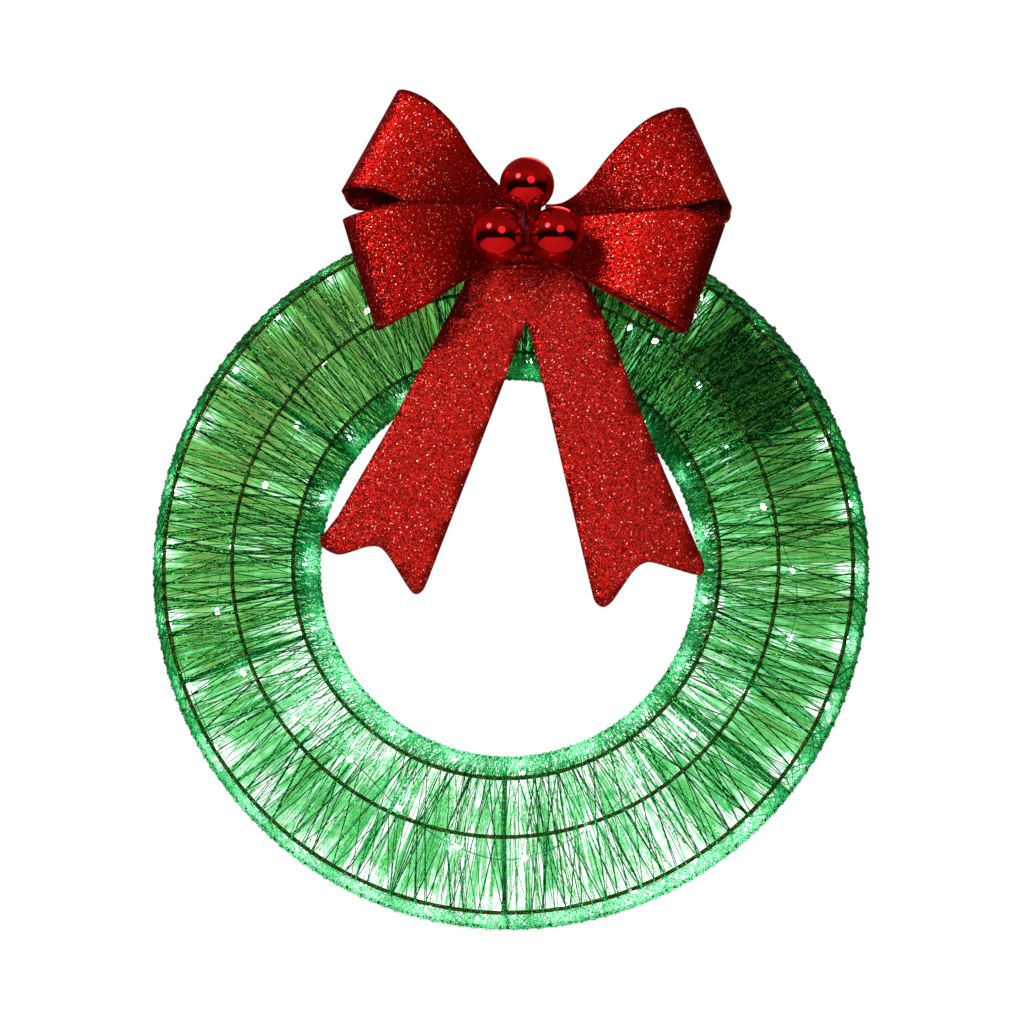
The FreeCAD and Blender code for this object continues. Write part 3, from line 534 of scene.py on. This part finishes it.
# A light's painted glow has a small core and a wide halo: how strong, and how wide in square metres.
CORE, CORE_WIDTH = 0.9, 0.00009
HALO, HALO_WIDTH = 0.28, 0.0005
HALO_END = 0.0020  # square metres
# The brightness round the wreath is painted light, given to points as painted glow.
SURROUNDINGS = 0.82  # how much of the brightness round the wreath reaches a point
NEAR_LEAST, NEAR_REST = 0.48, 0.52  # a light's share in the dark, and what brightness adds
CROWN_EDGE, CROWN_BLEND = 0.205, 0.012  # radius, in metres, where inner brightness takes over


def painted_glow_at(point, share, through=1.0):
    """The painted glow at a point: a share of its surroundings' painted light, and the near lights'.

    through says how much a light's depth counts: with 0, it paints glow on whatever is straight
    behind it.
    """
    near = 0.0
    for bead in BEADS:
        gap = (point.x - bead.x) ** 2 + (point.z - bead.z) ** 2 + through * (point.y - bead.y) ** 2
        if gap < HALO_END:
            near += CORE * math.exp(-gap / CORE_WIDTH) + HALO * math.exp(-gap / HALO_WIDTH)
    across, up = point.x - CENTRE.x, point.z - CENTRE.z
    outer, inner = around(math.degrees(math.atan2(up, across)))[:2]
    inside = between(0.0, (CROWN_EDGE - math.hypot(across, up)) / CROWN_BLEND, 1.0)
    base = outer + (inner - outer) * inside
    return min(1.0, base * SURROUNDINGS * share + near * (NEAR_LEAST + NEAR_REST * base))


# ------------------------------------------------------------------ winding

rng = random.Random(22)


def section_frame():
    """For each ring in turn, the unit normals of the panels before and after it."""
    normals = []
    count = len(SECTION)
    for i in range(count):
        pair = []
        for a, b in ((i - 1, i), (i, (i + 1) % count)):
            (r0, z0), (r1, z1) = SECTION[a], SECTION[b]
            length = math.hypot(r1 - r0, z1 - z0)
            pair.append(((z1 - z0) / length, -(r1 - r0) / length))
        normals.append(pair)
    return normals


NORMALS = section_frame()


def round_ring(i, degrees, lift):
    """Three points that take a thread round ring i, lift away from the wire's middle."""
    radius, depth = SECTION[i]
    (a, b), (c, d) = NORMALS[i]
    m, n = a + c, b + d
    size = math.hypot(m, n)
    spots = [(a, b), (m / size, n / size), (c, d)]
    return [polar(radius + lift * u, degrees, depth + lift * v) for u, v in spots]


def stretched(path, step, closed):
    """The path with more points, so that none of its runs is much longer than step."""
    points = []
    count = len(path)
    for i in range(count if closed else count - 1):
        start, finish = path[i], path[(i + 1) % count]
        pieces = max(1, round((finish - start).length / step))
        points += [start.lerp(finish, k / pieces) for k in range(pieces)]
    if not closed:
        points.append(path[-1])
    return points


def degrees_of(point):
    return math.degrees(math.atan2(point.z - CENTRE.z, point.x - CENTRE.x))


WALL_START = 2.0  # from a front ring's wire to where its wall counts as wall


def on_wall(point):
    """Whether a point is on the outer or the inner wall, beyond the front rings."""
    radius = math.hypot(point.x - CENTRE.x, point.z - CENTRE.z) / MM
    return radius > SECTION[1][0] + WALL_START or radius < SECTION[3][0] - WALL_START


def painted_glows_along(path, share, wall_share=None):
    """Painted glow at each point, worked out at every third one and shared with its neighbours."""
    values = []
    value = 0.0
    for i, point in enumerate(path):
        if i % 3 == 0:
            value = painted_glow_at(point, wall_share if wall_share and on_wall(point) else share)
        values.append(value)
    return values


CASE_ANGLE = 37.5  # degrees, from +x towards +y


def case_place(point):
    """Where a point is along the battery case's length and, from the wreath's centre, across it."""
    x, y = (point.x - CENTRE.x) / MM, (point.z - CENTRE.z) / MM
    turn = math.radians(CASE_ANGLE)
    return x * math.sin(turn) - y * math.cos(turn), x * math.cos(turn) + y * math.sin(turn)


# The case's front face has its body's outline, without the ears for its ties.
CASE_FACE_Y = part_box("battery_case")[0][1]
CASE_FACE = [
    vertex.co
    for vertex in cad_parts["battery_case"].data.vertices
    if vertex.co.y < CASE_FACE_Y + 0.5 * MM
]
CASE_SIDES = [(min(values), max(values)) for values in zip(*map(case_place, CASE_FACE))]
CASE_FRONT = (BACK_Y - CASE_FACE_Y) / MM
RISE_END = 2.0  # the threads are fully over the case this near to it
RISE_ROOM = 6.0  # and start to rise this far beyond that
CLEAR_OF_CASE = (0.6, 1.6)  # how far in front of it they pass


def outside_case(point):
    """How far a point is outside the battery case's outline."""
    gaps = [
        max(low - value, value - high, 0.0)
        for value, (low, high) in zip(case_place(point), CASE_SIDES)
    ]
    return math.hypot(*gaps)


def over_case(path, clear):
    """The path, taken in front of the battery case where it would run through it."""
    for point in path:
        depth = (BACK_Y - point.y) / MM
        if depth < CASE_FRONT:
            near = between(0.0, 1.0 - (outside_case(point) - RISE_END) / RISE_ROOM, 1.0)
            rise = near * near * (3.0 - 2.0 * near)
            point.y -= (CASE_FRONT + clear - depth) * rise * MM
    return path


def share_over_case(start, finish):
    """The two shares of a straight run between which it lies over the case, or None."""
    enter, leave = 0.0, 1.0
    for first, last, (low, high) in zip(case_place(start), case_place(finish), CASE_SIDES):
        change = last - first
        near, far = sorted(((low - first) / change, (high - first) / change))
        enter, leave = max(enter, near), min(leave, far)
    return (enter, leave) if enter < leave else None


BUNCH = 2.1  # degrees between the places on a ring where threads gather
PULL = 0.7  # how far a thread is pulled towards the nearest of those places
STRAY = 0.3  # degrees that it misses by

# Threads, by where they run. Leans are in degrees round the wreath, and radii in millimetres.
LOOPS_PER_DEGREE = 2.1
LOOP_LEANS = (0.5, 1.8, 2.7, 3.5)
LOOP_RADII = (0.28, 0.36, 0.44, 0.56)
TURN_BACK = 0.6  # chance that a thread leans the other way after a ring
# The GLOW values here and below are shares of the painted glow that each kind of thread gets.
LOOP_GLOW, LOOP_WALL_GLOW = 0.72, 1.02
BACK_PER_DEGREE = 3.6
BACK_LEAN = 3.5
IN_FRONT_OF_FILM = 0.68  # share of the back's threads
BACK_GLOW_SHARE = 0.95
OUTER_PER_DEGREE = 2.6 * 1.5
INNER_PER_DEGREE = 2.6 * 1.3
OUTER_GLOW, INNER_GLOW = 0.98, 0.64
LINING_RADII = (0.35, 0.6)
THREAD_STEP, WALL_STEP = 6 * MM, 5 * MM  # between the points of a thread
PHASES = (0, 6)  # radians, close to a whole turn
LOOP_TWIST, LINING_TWIST, FIBRE_TWIST = 0.5, 0.9, 0.7  # radians from one point to the next
LOOP_LAY, WALL_LAY = (0.5, 0.9), (-0.1, 0.3)  # from a ring's wire to the thread's middle
BACK_LAY, FILM_LAY = (0.2, 1.0), (0.1, 1.0)
LOOP_OVERLAP, FILM_OVERLAP, LINING_GAP = 0.5, 0.4, 0.3  # degrees past or short of an arch

# Film strips across the back. Pitch, slant and waver are in degrees round the wreath.
FILM_PITCH = 0.32
FILM_HALF = 1.6  # pitches from a strip's middle to its sides, so that the strips overlap
FILM_SLANT = 1.5
FILM_WAVER = 0.3
# Each strip's share of the painted glow, and the shift of its painted glow's warmth.
FILM_SHADES = (0.72, 1.24)
FILM_HUES = (-0.35, 0.35)
FILM_STEPS = 14
# A light's painted glow shows on the film straight behind it.
FILM_DEPTH_COUNTS = 0.06  # so that a light shows on the film straight behind it
FILM_THICKNESS = 0.04

# Loose fibres round each light, with painted glow that is whitest by the light.
FIBRES = 9
FIBRE_START = 1.2
FIBRE_LENGTHS = (4.0, 8.5)
FIBRE_BEND = 0.6
FIBRE_RADIUS = 0.24
FIBRE_PAINTED_GLOWS = [1.0, 1.0, 0.93, 0.80]


def gathered(degrees, ring):
    """An angle on a ring, pulled most of the way to the nearest place where threads gather."""
    phase = ring * 0.9
    nearest = round((degrees - phase) / BUNCH) * BUNCH + phase
    return degrees + (nearest - degrees) * PULL + rng.uniform(-STRAY, STRAY)


def places_along(start, finish, per_degree):
    """Random angles from start to finish, closer together where the winding is denser."""
    places = []
    here = start
    while here < finish:
        step = 1.0 / (per_degree * around(here)[3])
        places.append(here + rng.uniform(0.0, step))
        here += step
    return places


def wind_bay(number, start, finish):
    """The open winding between two arches: threads that lean one way and then the other."""
    low, high = start - LOOP_OVERLAP, finish + LOOP_OVERLAP
    threads = Strands()
    for here in places_along(start, finish, LOOPS_PER_DEGREE):
        lean = rng.choice((-1, 1))
        path = []
        for ring in range(5):
            if ring:
                here += lean * rng.choice(LOOP_LEANS) * rng.uniform(0.8, 1.2)
                lean = -lean if rng.random() < TURN_BACK else lean
            turn = between(low, gathered(here, ring), high)
            path += round_ring(ring, turn, RING_WIRE + rng.uniform(*LOOP_LAY))
        path = over_case(stretched(path, THREAD_STEP, True), rng.uniform(*CLEAR_OF_CASE))
        radius = rng.choice(LOOP_RADII) * MM
        phase = rng.uniform(*PHASES)
        glows = painted_glows_along(path, LOOP_GLOW, LOOP_WALL_GLOW)
        threads.add(path, radius, phase, LOOP_TWIST, glows, closed=True)
    piece = threads.piece(f"winding_threads_{number}", front_thread)
    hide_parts(f"winding_bay_{number}")


def line_walls(number, start, finish):
    """The denser thread on the outer and inner walls."""
    low, high = start + LINING_GAP, finish - LINING_GAP
    threads = Strands()
    for outer, rings in ((True, (0, 1)), (False, (3, 4))):
        for here in places_along(start, finish, OUTER_PER_DEGREE if outer else INNER_PER_DEGREE):
            lean = rng.choice((-1, 1)) * rng.uniform(0.5, 3.0)
            path = []
            for k, ring in enumerate(rings):
                turn = between(low, here + lean * k, high)
                path += round_ring(ring, turn, RING_WIRE + rng.uniform(*WALL_LAY))
            path = stretched(path[2:-2] if outer else path[2:-1], WALL_STEP, False)
            radius = rng.uniform(*LINING_RADII) * MM
            glows = painted_glows_along(path, OUTER_GLOW if outer else INNER_GLOW)
            threads.add(path, radius, rng.uniform(*PHASES), LINING_TWIST, glows)
    piece = threads.piece(f"winding_walls_{number}", wall_thread)


def across_back(here, lean, low, high, depth):
    """A straight line across the back, from the inner ring to the outer one."""
    inner, outer = SECTION[4][0] + 0.5, SECTION[0][0] - 0.5
    return [
        polar(inner, between(low, here, high), depth),
        polar(outer, between(low, here + lean, high), depth),
    ]


def line_back(number, start, finish):
    """The threads that lie across the back, on both sides of its film, with painted glow."""
    low, high = start + LINING_GAP, finish - LINING_GAP
    threads = Strands()
    for here in places_along(start, finish, BACK_PER_DEGREE):
        lift = RING_WIRE + rng.uniform(*BACK_LAY)
        depth = lift if rng.random() < IN_FRONT_OF_FILM else -lift
        line = across_back(here, rng.uniform(-BACK_LEAN, BACK_LEAN), low, high, depth)
        path = over_case(stretched(line, THREAD_STEP, False), rng.uniform(*CLEAR_OF_CASE))
        radius = rng.uniform(*LINING_RADII) * MM
        glows = painted_glows_along(path, BACK_GLOW_SHARE)
        threads.add(path, radius, rng.uniform(*PHASES), LINING_TWIST, glows)
    piece = threads.piece(f"winding_back_{number}", back_thread)


def film_runs(edges):
    """The stretches of a film strip, as shares of its length, that stay clear of the case."""
    spans = [span for span in (share_over_case(*edge) for edge in edges) if span]
    if not spans:
        return [(0.0, 1.0)]
    return [(0.0, min(enter for enter, _ in spans)), (max(leave for _, leave in spans), 1.0)]


def lay_film(number, start, finish):
    """Strips of thin film across the back, which carry the lights' glow as painted glow."""
    low, high = start - FILM_OVERLAP, finish + FILM_OVERLAP
    points, faces, glows, warmths = [], [], [], []
    here = low
    while here < high:
        here += FILM_PITCH
        depth = -RING_WIRE + rng.uniform(*FILM_LAY)
        shade, hue = rng.uniform(*FILM_SHADES), rng.uniform(*FILM_HUES)
        edges = []
        slant = rng.uniform(-FILM_SLANT, FILM_SLANT)
        for side in (-FILM_HALF, FILM_HALF):
            lean = slant + rng.uniform(-FILM_WAVER, FILM_WAVER)
            edge_start = here + side * FILM_PITCH - slant / 2
            edges.append(across_back(edge_start, lean, low, high, depth))
        for inner, outer in film_runs(edges):
            steps = max(1, round(FILM_STEPS * (outer - inner)))
            for k in range(steps + 1):
                share = inner + (outer - inner) * k / steps
                one, other = (near.lerp(far, share) for near, far in edges)
                middle = (one + other) / 2
                painted_glow_warmth = around(degrees_of(middle))[2]
                points += [one, other]
                glows += [painted_glow_at(middle, shade, FILM_DEPTH_COUNTS)] * 2
                warmths += [between(0.0, painted_glow_warmth + hue, 1.0)] * 2
                if k:
                    a = len(points) - 4
                    faces.append((a, a + 1, a + 3, a + 2))
    piece = new_piece(f"winding_film_{number}", points, faces, film)
    set_values(piece, "painted_glow", glows)
    set_values(piece, "painted_glow_warmth", warmths)
    thicken(piece, FILM_THICKNESS, -1.0)


def fray_lights():
    """Short loose fibres of tinsel caught round each light, with painted white glow near it, as
    glints.
    """
    fibres = Strands()
    for bead in BEADS:
        for _ in range(FIBRES):
            way = Vector([rng.gauss(0, 1) for _ in range(3)]).normalized()
            length = rng.uniform(*FIBRE_LENGTHS) * MM
            path = [bead + way * (FIBRE_START * MM + length * k / 3) for k in range(4)]
            bend = Vector([rng.uniform(-1, 1) for _ in range(3)]) * FIBRE_BEND * MM
            path[2] += bend * 0.5
            path[3] += bend
            phase = rng.uniform(*PHASES)
            fibres.add(path, FIBRE_RADIUS * MM, phase, FIBRE_TWIST, FIBRE_PAINTED_GLOWS)
    fibres.piece("light_fibres", front_thread)


fray_lights()
for i, start in enumerate(ARCH_ANGLES):
    finish = ARCH_ANGLES[(i + 1) % 6]
    finish += 0.0 if finish > start else 360.0
    wind_bay(i + 1, start, finish)
    line_walls(i + 1, start, finish)
    line_back(i + 1, start, finish)
    lay_film(i + 1, start, finish)

for name in RINGS:
    paint(name, wrapped_wire)
for i in range(1, 7):
    paint(f"arch_{i}", wrapped_strut)
    paint(f"strut_{i}", wrapped_strut)

# ------------------------------------------------------------------ case and small parts

PAINTED = {
    "hanging_loop": nylon,
    "battery_case": case_green,
    "electronics_lid": case_green,
    "battery_cover": case_green,
    "mode_button": pale_button,
    "switch_plunger": dark_plastic,
    "push_switch": dark_plastic,
    "circuit_board": board_green,
    "strut_tie_1": nylon,
    "strut_tie_2": nylon,
    "ring_tie": nylon,
    "bow_wire": bow_tie,
    "contact_link_1": bright_metal,
    "contact_link_2": bright_metal,
    "contact_plate_1": bright_metal,
    "contact_plate_2": bright_metal,
}
for i in range(1, 4):
    PAINTED[f"cell_{i}"] = cell_jacket
    PAINTED[f"cell_spring_{i}"] = bright_metal
    PAINTED[f"ball_cap_{i}"] = gold_cap
    PAINTED[f"ball_{i}"] = ball_red
for name, material in PAINTED.items():
    paint(name, material)

# ------------------------------------------------------------------ bow and tails

SHEET = 0.8  # thickness of the glitter sheet
WAIST_Z = 65.4
EDGE_STEPS, LOOP_STEPS, LOBE_COLUMNS = 60, 72, 18
REAR_FROM, REAR_BLEND = 0.60, 0.08  # share of the loop where it passes to its rear edges
SWELL = 1.6


def smooth_line(stops, count):
    """count + 1 points through the stops, rounded at each of them (Catmull-Rom)."""
    points = []
    last = len(stops) - 1
    for n in range(count + 1):
        place = n / count * last
        i = min(int(place), last - 1)
        t = place - i
        p0, p1, p2, p3 = (stops[min(max(i + k, 0), last)] for k in (-1, 0, 1, 2))
        points.append(
            tuple(
                0.5
                * (
                    2 * b
                    + (c - a) * t
                    + (2 * a - 5 * b + 4 * c - d) * t * t
                    + (3 * b - a - 3 * c + d) * t**3
                )
                for a, b, c, d in zip(p0, p1, p2, p3)
            )
        )
    return points


# A lobe's loop seen from its side: share of the way out to the fold, and height over the waist.
LOOP = [
    (0.00, 0.6), (0.10, 2.0), (0.24, 9.0), (0.42, 22.0), (0.60, 30.0), (0.78, 32.5), (0.90, 30.5),
    (0.97, 25.0), (1.00, 17.0), (0.97, 9.0), (0.90, 4.5), (0.70, 2.2), (0.35, 0.6), (0.00, -0.2),
]


def edge_at(edge, share):
    """Where an edge lies at a share of the way out, from its (share, x, y) stops."""
    for (s0, *p0), (s1, *p1) in zip(edge, edge[1:]):
        if share <= s1:
            t = (share - s0) / (s1 - s0)
            return [a + (b - a) * t for a, b in zip(p0, p1)]
    return list(edge[-1][1:])


def sheet_piece(name, rows, material, thick=SHEET):
    """A sheet through a grid of points, with real thickness."""
    count, width = len(rows), len(rows[0])
    points = [point for row in rows for point in row]
    faces = [
        (i * width + j, i * width + j + 1, (i + 1) * width + j + 1, (i + 1) * width + j)
        for i in range(count - 1)
        for j in range(width - 1)
    ]
    piece = new_piece(name, points, faces, material, smooth=True)
    thicken(piece, thick, 0.0)
    return piece


def make_lobe(name, node, front, rear, upper):
    """A lobe: out along the front between its upper and lower edges, and back along the rear.

    Its swell is flat at the slit, so that the upper and the lower lobe meet as one surface.
    """
    front = [smooth_line(edge, EDGE_STEPS) for edge in front]
    rear = [smooth_line(edge, EDGE_STEPS) for edge in rear]
    rows = []
    for n, (share, height) in enumerate(smooth_line(LOOP, LOOP_STEPS)):
        share = between(0.0, share, 1.0)
        behind = between(0.0, (n / LOOP_STEPS - REAR_FROM) / REAR_BLEND, 1.0)
        ends = []
        for one, other in zip(front, rear):
            (x0, y0), (x1, y1) = edge_at(one, share), edge_at(other, share)
            ends.append((x0 + (x1 - x0) * behind, y0 + (y1 - y0) * behind))
        row = []
        for j in range(LOBE_COLUMNS + 1):
            across = j / LOBE_COLUMNS
            x, y = (a + (b - a) * across for a, b in zip(*ends))
            from_outside = across if upper else 1.0 - across
            swell = SWELL * math.sin(math.pi / 2 * from_outside) * math.sin(math.pi * share)
            row.append(at(x, y, WAIST_Z + height + swell))
        rows.append(row)
    piece = sheet_piece(name, rows, bow_red)
    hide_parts(node)


# Each edge runs from the waist to the fold: (share of the way out, x, y). A lobe's rear edge by the
# slit hangs lower than its front one, so that the loop is open to below.
make_lobe(
    "bow_upper_left",
    "bow_lobe_upper_left",
    (
        [(0, 7, 273), (0.2, -6, 283), (0.42, -21, 300), (0.62, -34, 319), (0.8, -51, 336),
         (0.9, -65, 344.5), (0.97, -75, 348), (1, -79, 346.5)],
        [(0, 7, 258), (0.2, -17, 265), (0.4, -46, 264), (0.6, -71, 262.5), (0.68, -79, 266),
         (0.8, -92, 271), (0.92, -107, 273.5), (1, -119, 274)],
    ),
    (
        [(0, 7, 271), (0.5, -26, 305), (0.85, -60, 338), (1, -79, 346.5)],
        [(0, 7, 255), (0.6, -74, 261.5), (0.88, -106, 262), (0.95, -114, 265), (1, -119, 272)],
    ),
    upper=True,
)
make_lobe(
    "bow_lower_left",
    "bow_lobe_lower_left",
    (
        [(0, 7, 257.7), (0.2, -17, 264.7), (0.4, -46, 263.7), (0.6, -71, 262.2), (0.75, -84, 259.5),
         (0.9, -102, 255), (1, -118, 252)],
        [(0, 5, 226), (0.15, -11, 219), (0.3, -23, 210), (0.45, -34, 200), (0.65, -50, 187),
         (0.85, -71, 176), (1, -93, 169)],
    ),
    (
        [(0, 7, 254), (0.6, -74, 258.5), (0.88, -106, 257), (1, -118, 251)],
        [(0, 7, 227), (0.4, -32, 207), (0.85, -76, 180), (1, -93, 169)],
    ),
    upper=False,
)
make_lobe(
    "bow_upper_right",
    "bow_lobe_upper_right",
    (
        [(0, 31, 266), (0.15, 46, 267), (0.3, 63, 278), (0.45, 79, 296), (0.62, 98, 314),
         (0.78, 112, 323.5), (0.9, 127, 329.5), (0.96, 135, 330.5), (1, 139, 328)],
        [(0, 35, 256), (0.25, 72, 257), (0.45, 102, 255.5), (0.66, 131, 255.5), (0.76, 143, 257.5),
         (0.85, 155, 260.5), (0.93, 163, 261), (1, 169, 258)],
    ),
    (
        [(0, 31, 264), (0.3, 60, 274), (0.6, 94, 311), (0.85, 120, 327), (1, 139, 328)],
        [(0, 35, 253), (0.6, 124, 253), (0.88, 160, 249), (0.95, 167, 250), (1, 169, 256)],
    ),
    upper=True,
)
make_lobe(
    "bow_lower_right",
    "bow_lobe_lower_right",
    (
        [(0, 35, 255.7), (0.25, 72, 256.7), (0.45, 102, 255.2), (0.66, 131, 255.2), (0.8, 145, 251),
         (0.9, 154, 247), (1, 164, 245)],
        [(0, 35, 222), (0.2, 57, 210), (0.35, 72, 200), (0.55, 93, 188), (0.75, 112, 178),
         (0.88, 126, 170), (1, 136, 165)],
    ),
    (
        [(0, 35, 252), (0.6, 124, 250.5), (0.88, 155, 246), (1, 164, 244)],
        [(0, 35, 222), (0.35, 72, 201), (0.6, 100, 184.5), (0.85, 122, 171), (1, 136, 164.5)],
    ),
    upper=False,
)


WAIST_LEFT, WAIST_WIDTH = 1.5, 27.0
WAIST_LOW, WAIST_HEIGHT = 218.0, 50.0
WAIST_LIFT = 0.6
WAIST_COLUMNS, WAIST_ROWS = 24, 32
PLEAT_TURN = 1.35  # radians of a pleat's wave from one row to the next
WAIST_THICKNESS = 1.0


def make_waist():
    """The pinched middle of the bow, gathered into low pleats."""
    rows = []
    for i in range(WAIST_COLUMNS + 1):
        across = i / WAIST_COLUMNS
        row = []
        for j in range(WAIST_ROWS + 1):
            y = WAIST_LOW + WAIST_HEIGHT * j / WAIST_ROWS
            pleat = math.sin(j * PLEAT_TURN) * (1.0 - 0.5 * abs(2 * across - 1))
            row.append(at(WAIST_LEFT + WAIST_WIDTH * across, y, WAIST_Z + WAIST_LIFT + pleat))
        rows.append(row)
    piece = sheet_piece("bow_waist_pleats", rows, bow_red, WAIST_THICKNESS)
    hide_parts("bow_waist")


make_waist()

TAIL_Z = 63.6
TAIL_MIDDLE = 17  # x, between the two tails
FALL_START, FALL = 190.0, 210.0  # y where the tails start to leave the wreath, and how far they fall
APART, SPREAD = 24, 62  # from the middle to a tail's centre line, at the top and what the fall adds
CURL_WIDTH = 45.0
# Straight-cut edges, then each notched end as (x, y) stops on a smooth line.
RIGHT_END = [(147.4, -3), (147, -9), (142, -11.6), (125, -7), (110, -2.6), (103, -3.2), (96, -8.5),
             (87, -21), (79.5, -31.5), (73.2, -35), (67.5, -31), (65, -23)]
LEFT_END = [(-54, -12), (-58.5, -22), (-64, -25.2), (-69, -21), (-78, -7), (-86, 5), (-92, 10),
            (-101, 10), (-111, 7), (-121, 4.6), (-129, 7), (-135, 11.5), (-136, 17)]
TAIL_TOP = [(-31, 203), (-24, 219), (-6, 235), (17, 241), (40, 235), (57, 219), (66, 201)]
TAIL_OUTLINE = [
    *TAIL_TOP, (81, 167), (99, 117), (119, 64),
    *smooth_line(RIGHT_END, 44),
    (61, -6), (45, 63), (30.3, 128), (17.4, 178), (0, 131),
    *smooth_line(LEFT_END, 48),
    (-123, 33), (-82, 104),
]


def make_tails():
    """One flat sheet, cut as an upside-down V with notched ends, a little curled lower down."""
    built = bmesh.new()
    corners = [built.verts.new((x, y, 0.0)) for x, y in TAIL_OUTLINE]
    built.faces.new(corners)
    cuts = [((0, y, 0), (0, 1, 0)) for y in range(-50, 260, 12)]
    cuts += [((x, 0, 0), (1, 0, 0)) for x in range(-150, 160, 14)]
    for place, normal in cuts:
        geometry = built.verts[:] + built.edges[:] + built.faces[:]
        bmesh.ops.bisect_plane(built, geom=geometry, plane_co=place, plane_no=normal)
    for vertex in built.verts:
        x, y, _ = vertex.co
        hang = max(0.0, FALL_START - y) / FALL
        side = 1.0 if x > TAIL_MIDDLE else -1.0
        centre = TAIL_MIDDLE + side * (APART + SPREAD * hang)
        curl = ((x - centre) / CURL_WIDTH) ** 2
        vertex.co = at(x, y, TAIL_Z + 5.0 * hang**1.5 * (1.0 - 0.6 * curl) + 1.2 * hang)
    mesh = bpy.data.meshes.new("bow_tail_sheet")
    built.to_mesh(mesh)
    built.free()
    mesh.materials.append(tail_red)
    mesh.polygons.foreach_set("use_smooth", [True] * len(mesh.polygons))
    piece = bpy.data.objects.new("bow_tail_sheet", mesh)
    scene.collection.objects.link(piece)
    thicken(piece, SHEET, 0.0)
    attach(piece, "wreath")
    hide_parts("bow_tails")


make_tails()

# ------------------------------------------------------------------ floor, lights and camera


FLOOR_HALF = 1.9
FLOOR_DROP = 0.62  # from the wreath's centre down to the floor


def make_floor():
    """A pale floor below the main camera's view."""
    mesh = bpy.data.meshes.new("floor")
    size, low = FLOOR_HALF, CENTRE.z - FLOOR_DROP
    corners = [(-size, -size, low), (size, -size, low), (size, size, low), (-size, size, low)]
    mesh.from_pydata(corners, [], [(0, 1, 2, 3)])
    material, nodes, links, shader = new_material("pale_floor")
    patches = noise(nodes, links, 0.6)
    stops = [(0.3, (0.88, 0.88, 0.88)), (0.7, (0.92, 0.92, 0.92))]
    links.new(ramp(nodes, links, patches, stops), shader.inputs["Base Color"])
    shader.inputs["Roughness"].default_value = 0.9
    mesh.materials.append(material)
    floor = bpy.data.objects.new("floor", mesh)
    scene.collection.objects.link(floor)


def aim(thing, target):
    thing.rotation_euler = (target - thing.location).to_track_quat("-Z", "Y").to_euler()


def make_light(name, place, size, power):
    """A white disk light, aimed at the wreath's centre."""
    data = bpy.data.lights.new(name, "AREA")
    data.shape = "DISK"
    data.energy, data.size = power, size
    light = bpy.data.objects.new(name, data)
    light.location = place
    aim(light, CENTRE)
    scene.collection.objects.link(light)


BEAD_POWER, BEAD_SIZE, BEAD_COLOUR = 0.012, 0.004, (0.7, 1.0, 0.8)


def make_bead_lights():
    """A small lamp at each light of the string, which lights the threads round it."""
    for i, middle in enumerate(BEADS):
        data = bpy.data.lights.new(f"bead_light_{i}", "POINT")
        data.energy, data.shadow_soft_size, data.color = BEAD_POWER, BEAD_SIZE, BEAD_COLOUR
        light = bpy.data.objects.new(f"bead_light_{i}", data)
        light.location = middle
        scene.collection.objects.link(light)


def make_world():
    """A white backdrop, and a dim room for reflections: pale above, dark at eye level."""
    world = bpy.data.worlds.new("studio")
    world.use_nodes = True
    nodes, links = world.node_tree.nodes, world.node_tree.links
    backdrop = nodes["Background"]
    backdrop.inputs["Color"].default_value = (1, 1, 1, 1)
    room = add(nodes, "ShaderNodeBackground")
    direction = add(nodes, "ShaderNodeTexCoord").outputs["Generated"]
    split = add(nodes, "ShaderNodeSeparateXYZ")
    links.new(direction, split.inputs[0])
    clutter = add(nodes, "ShaderNodeTexNoise")
    links.new(direction, clutter.inputs["Vector"])
    clutter.inputs["Scale"].default_value = 7.0
    uneven = spread_out(nodes, links, clutter.outputs["Fac"], -0.16, 0.16)
    total = combine(nodes, links, split.outputs["Z"], uneven, "ADD")
    height = spread_out(nodes, links, total, 0.5, 1.0)
    stops = [
        (0.0, (0.20, 0.20, 0.20)),
        (0.40, (0.22, 0.22, 0.22)),
        (0.44, (0.02, 0.02, 0.02)),
        (0.53, (0.02, 0.02, 0.02)),
        (0.57, (0.22, 0.22, 0.22)),
        (0.75, (0.50, 0.50, 0.50)),
        (1.0, (0.30, 0.30, 0.30)),
    ]
    links.new(ramp(nodes, links, height, stops), room.inputs["Color"])
    chosen = add(nodes, "ShaderNodeMixShader")
    links.new(add(nodes, "ShaderNodeLightPath").outputs["Is Camera Ray"], chosen.inputs[0])
    links.new(room.outputs[0], chosen.inputs[1])
    links.new(backdrop.outputs[0], chosen.inputs[2])
    links.new(chosen.outputs[0], nodes["World Output"].inputs["Surface"])
    scene.world = world


make_floor()
make_bead_lights()
make_light("key", (-1.0, -1.5, 0.75), size=0.6, power=27)
make_light("fill", (0.6, -1.7, 0.2), size=0.9, power=7)
make_light("rim", (0.3, 1.4, 1.3), size=1.0, power=10)
make_world()
scene.view_settings.view_transform = "Standard"

EYE = at(95.0, -126.0, 1700.0)
AIM = at(3.0, 42.0, 0.0)
LENS = 78.5
camera_data = bpy.data.cameras.new("camera")
camera_data.lens = LENS
camera = bpy.data.objects.new("camera", camera_data)
camera.location = EYE
aim(camera, AIM)
scene.collection.objects.link(camera)
scene.camera = camera
